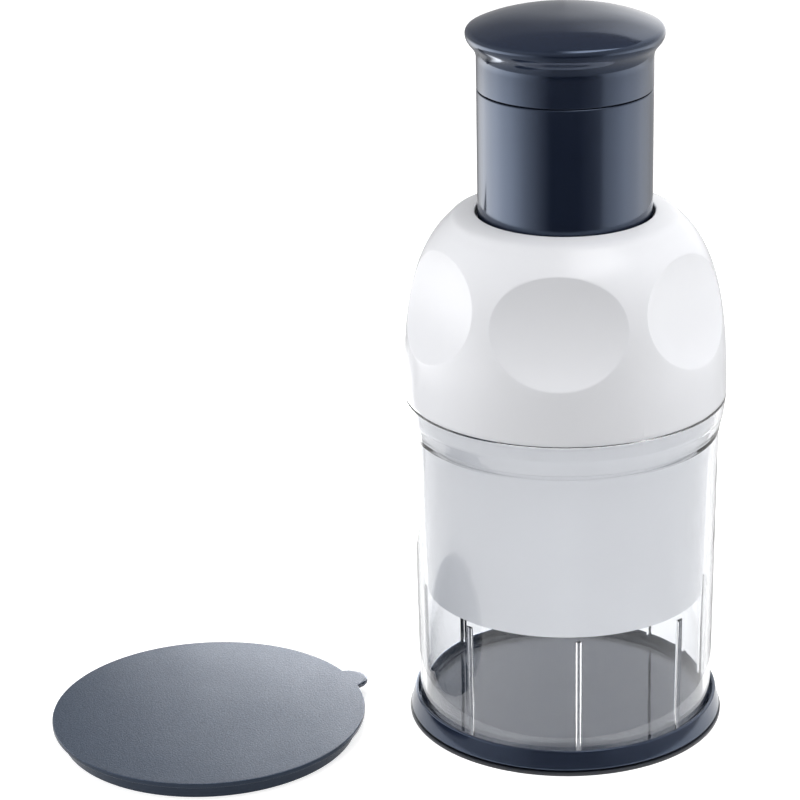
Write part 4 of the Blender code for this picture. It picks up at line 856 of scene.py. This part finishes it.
class CHOPPER_OT_sleeve(bpy.types.Operator):
    """Make the white sleeve that hangs into the container, with two fine grooves inside the collar"""

    bl_idname = "chopper.sleeve"
    bl_label = "Inner sleeve"

    def execute(self, context):
        size = context.scene.chopper_sleeve
        low, high = bottom("inner_sleeve"), top("inner_sleeve")
        neck = top("container") - context.scene.chopper_container.collar_height
        shelf = bottom("guide_frame") + 20.0 * MM - 0.3 * MM
        shelf_foot = shelf - 2.2 * MM
        catch = top("wiper_disc") + 0.3 * MM
        ledge = low + 1.0 * MM
        rim, rim_bore = size.rim_radius, size.rim_radius - size.wall
        snap, shelf_bore = rim + 0.5 * MM, rim_bore - 5.4 * MM
        neck_radius, neck_bore = size.neck_radius, size.neck_radius - size.wall
        bore = size.foot_radius - size.wall
        bead, ledge_bore = bore - 0.8 * MM, bore - 2.0 * MM
        edge = 0.3 * MM
        mesh = turned_corners(
            "sleeve_surface",
            [
                (size.foot_radius, low, 0.5 * MM),
                (neck_radius, neck - 3.6 * MM, 6.0 * MM),
                *self.groove(neck_radius + 0.33 * MM, neck - 1.2 * MM, 0.14, 0.5 * MM, 0.55 * MM),
                (neck_radius + 0.5 * MM, neck, 3.0 * MM),
                *self.groove(neck_radius + 0.58 * MM, neck + 0.3 * MM, 0.28, 0.2 * MM, 0.4 * MM),
                (rim, neck + 5.8 * MM, 2.5 * MM),
                (rim, high - 3.2 * MM, 0.4 * MM),
                (snap, high - 2.4 * MM, edge),
                (snap, high - 1.6 * MM, edge),
                (rim, high, edge),
                (rim_bore, high, edge),
                (rim_bore, shelf, edge),
                (shelf_bore, shelf, edge),
                (shelf_bore, shelf_foot, edge),
                (rim_bore, shelf_foot, 0.5 * MM),
                (rim_bore, neck + 3.6 * MM, 2.0 * MM),
                (neck_bore + 0.5 * MM, neck, 2.0 * MM),
                (neck_bore, neck - 3.6 * MM, 3.0 * MM),
                (bore, catch + 1.6 * MM, 0.5 * MM),
                (bead, catch + 0.8 * MM, 0.2 * MM),
                (bead, catch, 0.2 * MM),
                (bore, catch - 0.25 * MM, 0.1 * MM),
                (bore, ledge, 0.2 * MM),
                (ledge_bore, ledge, edge),
                (ledge_bore, low, edge),
            ],
        )
        place_piece(mesh, "sleeve", "housing", "inner_sleeve")
        return {"FINISHED"}

    def groove(self, radius, low, lean, depth, width):
        """Corners of a fine groove cut into a wall that leans out by lean for each unit of height."""
        steps = [(share * width, cut) for share, cut in ((0.0, 0.0), (0.2, depth), (0.8, depth), (1.0, 0.0))]
        return [(radius + lean * up - cut, low + up, 0.04 * MM) for up, cut in steps]


class CHOPPER_OT_tray(bpy.types.Operator):
    """Make the base tray with its flared rim, and the soft pad under it"""

    bl_idname = "chopper.tray"
    bl_label = "Base tray and pad"

    def execute(self, context):
        size = context.scene.chopper_tray
        low, high = bottom("base_tray"), top("base_tray")
        floor, bore = low + size.floor, size.rim_radius - size.rim_wall
        key_in, key_out, key_top = 43.7 * MM, 45.9 * MM, low + 0.9 * MM
        tray = turned_corners(
            "tray_surface",
            [
                (0.0, floor, 0.0),
                (bore, floor, 0.6 * MM),
                (bore, high, 0.3 * MM),
                (size.rim_radius, high, 0.45 * MM),
                (size.foot_radius, low + 0.5 * MM, 0.3 * MM),
                (size.foot_radius - 0.5 * MM, low, 0.2 * MM),
                (key_out, low, 0.2 * MM),
                (key_out, key_top, 0.1 * MM),
                (key_in, key_top, 0.1 * MM),
                (key_in, low, 0.2 * MM),
                (0.0, low, 0.0),
            ],
        )
        place_piece(tray, "anthracite", "base", "base_tray")
        thick, clear = 1.3 * MM, 0.3 * MM
        ridge = thick + 0.9 * MM
        wide, narrow, deep = 1.5 * MM, 1.0 * MM, 0.5 * MM
        groove = [(wide, 0.0), (narrow, deep), (-narrow, deep), (-wide, 0.0)]
        grooves = [(middle + out, up, 0.2 * MM) for middle in (37.0 * MM, 30.0 * MM) for out, up in groove]
        pad = turned_corners(
            "pad_surface",
            [
                (0.0, thick, 0.0),
                (key_in + clear, thick, 0.1 * MM),
                (key_in + clear, ridge, 0.2 * MM),
                (key_out - clear, ridge, 0.2 * MM),
                (key_out - clear, thick, 0.1 * MM),
                (size.pad_radius, thick, 0.4 * MM),
                (size.pad_radius, 0.0, 0.4 * MM),
                *grooves,
                (0.0, 0.0, 0.0),
            ],
        )
        place_piece(pad, "pad", "base", "foot_pad")
        return {"FINISHED"}


class CHOPPER_OT_lid(bpy.types.Operator):
    """Make the storage lid: grained plate, polished rim and skirt, and its pull tab"""

    bl_idname = "chopper.lid"
    bl_label = "Storage lid"

    def execute(self, context):
        size = context.scene.chopper_lid
        high = top("storage_lid")
        rim_low, plate_low = high - size.rim, high - 2.2 * MM
        foot, wall = size.skirt_radius - size.skirt_taper, 1.7 * MM
        corners = [
            (0.0, high, 0.0),
            (size.radius, high, 0.35 * MM),
            (size.radius, rim_low, 0.35 * MM),
            (size.skirt_radius, rim_low, 0.4 * MM),
            (foot, 0.0, 0.4 * MM),
            (foot - wall, 0.0, 0.4 * MM),
            (size.skirt_radius - wall, plate_low, 0.8 * MM),
            (0.0, plate_low, 0.0),
        ]
        profile = filleted(corners, closed=False)
        radius, height = profile[:, :1], profile[:, 1:]
        azimuths = np.linspace(0.0, math.tau, 288, endpoint=False)
        # The tab is drawn out of the last 1.6 mm of the rim, and the skirt under it stays round
        drawn = 1.6 * MM
        share = np.clip((radius - (size.radius - drawn)) / drawn, 0.0, 1.0)
        share = np.where(height > rim_low - 0.01 * MM, share, 0.0)
        grid = round_grid(radius + share * self.tab(size, azimuths), azimuths, height)
        mesh = skinned("lid_surface", grid + np.array([*size.centre, 0.0]), poles=True)
        place_piece(mesh, "grained", "lid", "storage_lid")
        return {"FINISHED"}

    def tab(self, size, azimuths):
        """How far the rim stands out at each azimuth, for a round tab blended into a round rim.

        A circle of radius q centred c from the axis meets the ray at turn d where the reach is
        c cos d + sqrt(q^2 - c^2 sin^2 d); the two outlines are joined by a soft maximum.
        """
        centre = size.radius + size.tab_reach - size.tab_radius
        away = (azimuths - size.tab_turn + math.pi) % math.tau - math.pi
        under = size.tab_radius**2 - (centre * np.sin(away)) ** 2
        ray = centre * np.cos(away) + np.sqrt(np.maximum(under, 0.0))
        ray = np.where((under > 0) & (np.abs(away) < 1.0), ray, 0.0)
        stand = ray - size.radius
        soft = 0.5 * MM
        return np.where(stand > -6 * soft, soft * np.logaddexp(0.0, stand / soft), 0.0)


class CHOPPER_OT_spring(bpy.types.Operator):
    """Make the return spring at rest; the real one shortens as the plunger goes down"""

    bl_idname = "chopper.spring"
    bl_label = "Return spring"

    def execute(self, context):
        """A round wire swept along a helix of 9 turns, whose end turns lie close."""
        low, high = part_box("return_spring")
        wire, coil, coils, close = 0.8 * MM, 17.0 * MM, 9.0, 2.3 * MM
        t = np.linspace(0.0, coils, 9 * 48 + 1)
        rise = high.z - low.z - 2 * wire
        z = low.z + wire + np.interp(t, [0, 1, coils - 1, coils], [0, close, rise - close, rise])
        outward = np.stack([np.cos(math.tau * t), np.sin(math.tau * t), 0 * t], axis=-1)
        centre = coil * outward + np.stack([0 * t, 0 * t, z], axis=-1)
        along = np.gradient(centre, axis=0)
        along /= np.linalg.norm(along, axis=1, keepdims=True)
        upward = np.cross(along, outward)
        angle = np.linspace(0.0, math.tau, 12, endpoint=False)[:, None]
        tube = centre[:, None] + wire * (np.cos(angle) * outward[:, None] + np.sin(angle) * upward[:, None])
        ends = [centre[:1, None] + 0 * tube[:1], centre[-1:, None] + 0 * tube[-1:]]
        mesh = skinned("spring_surface", np.concatenate([ends[0], tube, ends[1]]), poles=True)
        piece = place_piece(mesh, "wire", "housing", "return_spring")
        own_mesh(piece)
        return {"FINISHED"}


class CHOPPER_OT_inner_parts(bpy.types.Operator):
    """Finish the solids that are shown as they are: blades, hub, shaft, screws, nut, guide and rings"""

    bl_idname = "chopper.inner_parts"
    bl_label = "Inner parts"

    def execute(self, context):
        blades, rivets, screws = [
            [f"{name}_{i}" for i in (1, 2, 3)] for name in ("zigzag_blade", "blade_rivet", "housing_screw")
        ]
        kinds = {
            "steel": [*blades, "drive_shaft", "shaft_washer"],
            "wire": [*rivets, "blade_screw", "shaft_screw", *screws],
            "acetal": ["blade_hub", "guide_frame", "index_nut", "nut_retainer", "spring_seat", "thrust_bush"],
            "pad": ["stop_ring"],
            "white": ["wiper_disc"],
        }
        for kind, nodes in kinds.items():
            for node in nodes:
                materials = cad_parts[node].data.materials
                materials.clear()
                materials.append(finish(kind))
        return {"FINISHED"}


# Studio

# Glow of the sheet that paints reflections round the set: azimuth, then near the foot, on the floor, and low,
# halfway and high up
PAINTED_REFLECTION_GLOW = (
    (-180, 0.4, 0.5, 0.4, 0.5, 0.28),
    (-170, 0.4, 0.6, 0.4, 0.4, 0.25),
    (-158, 0.5, 0.7, 0.4, 0.3, 0.25),
    (-128, 0.6, 0.8, 2.8, 0.5, 0.3),
    (-98, 0.6, 0.8, 3.4, 0.6, 0.4),
    (-72, 0.6, 0.7, 2.6, 0.6, 0.5),
    (-50, 0.5, 0.6, 1.2, 0.6, 0.5),
    (-30, 0.35, 0.4, 0.35, 0.4, 0.5),
    (-18, 0.22, 0.25, 0.0, 0.3, 0.5),
    (18, 0.2, 0.25, 0.0, 0.3, 0.5),
    (34, 0.25, 0.4, 0.15, 0.4, 0.5),
    (44, 0.3, 0.4, 0.3, 0.5, 0.5),
    (52, 0.4, 0.5, 1.0, 0.6, 0.5),
    (83, 0.5, 0.6, 1.9, 0.7, 0.8),
    (113, 0.5, 0.6, 1.8, 0.8, 1.0),
    (144, 0.4, 0.6, 0.7, 1.3, 1.3),
    (158, 0.4, 0.6, 0.5, 1.6, 1.2),
    (166, 0.4, 0.6, 0.5, 1.5, 0.9),
    (172, 0.4, 0.5, 0.5, 1.2, 0.6),
    (180, 0.4, 0.5, 0.4, 0.6, 0.28),
)


class CHOPPER_OT_studio(bpy.types.Operator):
    """Make the pale floor, the room, the soft lights, the glowing sheets that paint reflections round the
    set, and the camera
    """

    bl_idname = "chopper.studio"
    bl_label = "Studio"

    def execute(self, context):
        size = context.scene.chopper_studio
        self.make_floor()
        self.make_room(size.sky_light)
        self.make_screen("left_screen", [-132, -125, -110, -80, -58, -44, -30, -20], size.left_light)
        self.make_screen("right_screen", [132, 125, 110, 80, 62, 48, 36, 26], size.right_light)
        panel = self.make_panel("top_panel", (0.12, -0.05, 1.15), (0.6, 0.6), size.top_light)
        panel.visible_glossy = False
        # A glowing sheet above, which only reflections see: a painted highlight on the upper dome
        painted_reflection_sheet = self.make_panel("top_painted_reflection", (0.6, -0.5, 1.0), (0.75, 0.5), 4.0 * size.painted_reflection_level)
        self.only_reflected(painted_reflection_sheet)
        self.make_painted_reflection(size.painted_reflection_level)
        self.make_lid_painted_reflection(size.painted_reflection_level)
        self.make_world()
        self.make_camera(size)
        context.scene.view_settings.view_transform = "Standard"
        return {"FINISHED"}

    def make_floor(self):
        """A plain square floor; what is seen of it is lifted to white, and shadows stay."""
        half, lift = 2.4, 0.75
        x, y = np.meshgrid([-half, half], [-half, half])
        floor = self.make_sheet("floor", np.stack([x, y, 0 * x], axis=-1))
        material, tree, shader, _ = new_material("painted studio floor")
        sockets = {"Base Color": rgba(linear_rgb("DADADA")), "Roughness": 0.9, "Specular IOR Level": 0.0}
        fill_sockets(tree, shader, sockets)
        strength = add_node(tree, "Math", {0: seen_rays(tree), 1: lift}, operation="MULTIPLY").outputs[0]
        light = add_node(tree, "Emission", {"Color": WHITE_LIGHT, "Strength": strength}).outputs["Emission"]
        show(tree, add_node(tree, "AddShader", {0: shader.outputs["BSDF"], 1: light}).outputs[0])
        floor.data.materials.append(material)

    def make_sheet(self, name, grid, glow=None):
        """A sheet through a grid of points; with a glow for each point it is a soft light panel, and where
        only reflections see it, a painted reflection.
        """
        index = np.arange(grid[..., 0].size).reshape(grid.shape[:2])
        mesh = bpy.data.meshes.new(name)
        mesh.from_pydata(grid.reshape(-1, 3).tolist(), [], quads(index, loop_columns=False).tolist())
        sheet = bpy.data.objects.new(name, mesh)
        bpy.context.scene.collection.objects.link(sheet)
        if glow is not None:
            values = np.broadcast_to(glow, index.shape).astype(np.float32).ravel()
            mesh.attributes.new("glow", "FLOAT", "POINT").data.foreach_set("value", values)
            mesh.materials.append(self.sheet_glow())
            sheet.visible_camera = False
            sheet.visible_transmission = False
        return sheet

    def only_reflected(self, painted_reflection_sheet):
        """Only reflections see such a sheet: its glow is a painted reflection, and it lights nothing and
        shades nothing.
        """
        painted_reflection_sheet.visible_diffuse = False
        painted_reflection_sheet.visible_shadow = False

    def sheet_glow(self):
        """Light through white diffuser cloth, as bright at each point as the sheet's glow says; on the sheets
        that only reflections see, that glow is a painted reflection.
        """
        name = "lamp glow and painted reflection glow"
        if name in bpy.data.materials:
            return bpy.data.materials[name]
        material, tree, *_ = new_material(name)
        glow = add_node(tree, "Attribute", attribute_name="glow").outputs["Fac"]
        show(tree, add_node(tree, "Emission", {"Color": WHITE_LIGHT, "Strength": glow}).outputs["Emission"])
        return material

    def make_panel(self, name, centre, halves, radiance):
        """A flat panel that fades towards its edges: glow = radiance * fade(u) * fade(v).

        fade is 1 up to 0.45 of the way out and falls as a half cosine to 0 at the edge.
        """
        share = np.linspace(-1.0, 1.0, 17)
        fade = 0.5 + 0.5 * np.cos(math.pi * np.clip((np.abs(share) - 0.45) / 0.55, 0.0, 1.0))
        x, y = np.meshgrid(share * halves[0], share * halves[1])
        grid = np.array(centre) + np.stack([x, y, 0 * x], axis=-1)
        return self.make_sheet(name, grid, radiance * fade[None, :] * fade[:, None])

    def make_screen(self, name, azimuths, radiance):
        """A curved cloth standing round one side of the set, half a metre from its middle.

        Its glow follows the azimuth between the listed ones, brightest about 60 degrees from the
        front, and fades as a half cosine over the upper two thirds of its height.
        """
        levels = np.array([0.0, 0.1, 0.4, 0.85, 0.95, 0.5, 0.1, 0.0])
        turns = np.radians(np.linspace(azimuths[0], azimuths[-1], 61))
        order = np.argsort(azimuths)
        across = np.interp(turns, np.radians(azimuths)[order], levels[order])
        radius, full, fading = 0.52, 0.20, 0.42
        height = np.linspace(0.0, full + fading, 15)[:, None]
        fade = 0.5 + 0.5 * np.cos(math.pi * np.clip((height - full) / fading, 0.0, 1.0))
        screen = self.make_sheet(name, round_grid(radius, turns, height), radiance * across * fade)
        screen.visible_shadow = False

    def make_room(self, radiance):
        """Grey walls and ceiling all round: a capped cylinder 5 m across.

        They are lightest at both sides, where glow = radiance * (0.38 + 0.22 sin^2 a) peaks.
        """
        turns = np.linspace(0.0, math.tau, 65)
        radius = np.array([2.5, 2.5, 1.6, 0.01])[:, None]
        height = np.array([-0.01, 2.0, 2.6, 2.6])[:, None]
        glow = radiance * (0.38 + 0.22 * np.sin(turns) ** 2)
        self.make_sheet("room", round_grid(radius, turns, height), glow)

    def make_painted_reflection(self, level):
        """Glowing sheet round the set, on the floor and then up as a wall, which only reflections see.

        Its glow is a painted reflection: none low down before the camera and bright at both sides,
        as when cards are laid round a set, so that a glossy piece shows a painted dark middle
        between two painted soft highlights.
        """
        azimuths, near, floor, low, middle, high = np.array(PAINTED_REFLECTION_GLOW).T
        glows = np.array([near, floor, floor, low, low, middle, middle, high, high])
        radius = np.array([0.07, 0.18, 0.44, 0.45, 0.45, 0.45, 0.45, 0.45, 0.45])[:, None]
        height = np.array([0.0004, 0.0004, 0.0004, 0.001, 0.09, 0.17, 0.34, 0.44, 0.62])[:, None]
        turns = np.radians(np.linspace(-180.0, 180.0, 181))
        glow = level * np.stack([np.interp(turns, np.radians(azimuths), row) for row in glows])
        self.only_reflected(self.make_sheet("painted_reflection_sheet", round_grid(radius, turns, height), glow))

    def make_lid_painted_reflection(self, level):
        """A low upright glowing sheet behind the storage lid, lightest at its right, which only reflections
        see: a painted reflection on the lid.
        """
        behind, brightest = 0.13, 12.0
        across = np.linspace(-0.22, 0.0, 23)
        height = np.linspace(0.0005, 0.115, 12)[:, None]
        ramp = np.clip((across + 0.205) / 0.14, 0.0, 1.0)
        fade = np.interp(height, [0.03, 0.085], [1.0, 0.05])
        grid = np.stack(np.broadcast_arrays(across, behind, height), axis=-1)
        self.only_reflected(self.make_sheet("lid_painted_reflection", grid, brightest * level * ramp * fade))

    def make_world(self):
        """White past the floor and room, for every ray that shows the background."""
        world = bpy.data.worlds.new("studio")
        bpy.context.scene.world = world
        world.use_nodes = True
        tree = world.node_tree
        sockets = {"Color": WHITE_LIGHT, "Strength": seen_rays(tree)}
        fill_sockets(tree, tree.nodes["Background"], sockets)

    def make_camera(self, size):
        """Camera in front of the axis, pitched down, then turned about its own up direction.

        The turn brings the chopper to its column: tan(turn) = (column - 400) / focal length.
        """
        pitch, focal = size.camera_pitch, size.focal_pixels
        right = Vector((1.0, 0.0, 0.0))
        up = Vector((0.0, math.sin(pitch), math.cos(pitch)))
        forward = Vector((0.0, math.cos(pitch), -math.sin(pitch)))
        yaw = math.atan((size.chopper_column - FRAME_PIXELS / 2) / focal)
        aim = math.cos(yaw) * forward - math.sin(yaw) * right
        side = math.cos(yaw) * right + math.sin(yaw) * forward
        data = bpy.data.cameras.new("camera")
        data.sensor_width = 36.0
        data.lens = focal * math.cos(yaw) * data.sensor_width / FRAME_PIXELS
        camera = bpy.data.objects.new("camera", data)
        camera.matrix_world = Matrix(
            (
                (side.x, up.x, -aim.x, 0.0),
                (side.y, up.y, -aim.y, -size.camera_distance),
                (side.z, up.z, -aim.z, size.camera_height),
                (0.0, 0.0, 0.0, 1.0),
            )
        )
        bpy.context.scene.collection.objects.link(camera)
        bpy.context.scene.camera = camera


OPERATORS = (
    CHOPPER_OT_studio,
    CHOPPER_OT_tray,
    CHOPPER_OT_container,
    CHOPPER_OT_sleeve,
    CHOPPER_OT_dome,
    CHOPPER_OT_tube,
    CHOPPER_OT_knob,
    CHOPPER_OT_spring,
    CHOPPER_OT_inner_parts,
    CHOPPER_OT_lid,
)


class CHOPPER_PT_panel(bpy.types.Panel):
    """Buttons that make the chopper's surfaces, and the sizes they are made with"""

    bl_idname = "CHOPPER_PT_panel"
    bl_label = "Food chopper"
    bl_space_type = "VIEW_3D"
    bl_region_type = "UI"
    bl_category = "Chopper"

    def draw(self, context):
        for operator in OPERATORS:
            self.layout.operator(operator.bl_idname)
        for name, group in SETTINGS.items():
            box = self.layout.box()
            box.label(text=group.__name__)
            for field in group.__annotations__:
                box.prop(getattr(context.scene, name), field)


CLASSES = (*SETTINGS.values(), *OPERATORS, CHOPPER_PT_panel)


def register():
    for cls in CLASSES:
        bpy.utils.register_class(cls)
    for name, group in SETTINGS.items():
        setattr(bpy.types.Scene, name, PointerProperty(type=group))


def unregister():
    for name in SETTINGS:
        delattr(bpy.types.Scene, name)
    for cls in reversed(CLASSES):
        bpy.utils.unregister_class(cls)


def main():
    """Makes everything, in order."""
    register()
    for operator in OPERATORS:
        group, name = operator.bl_idname.split(".")
        getattr(getattr(bpy.ops, group), name)()


if __name__ == "__main__":
    main()
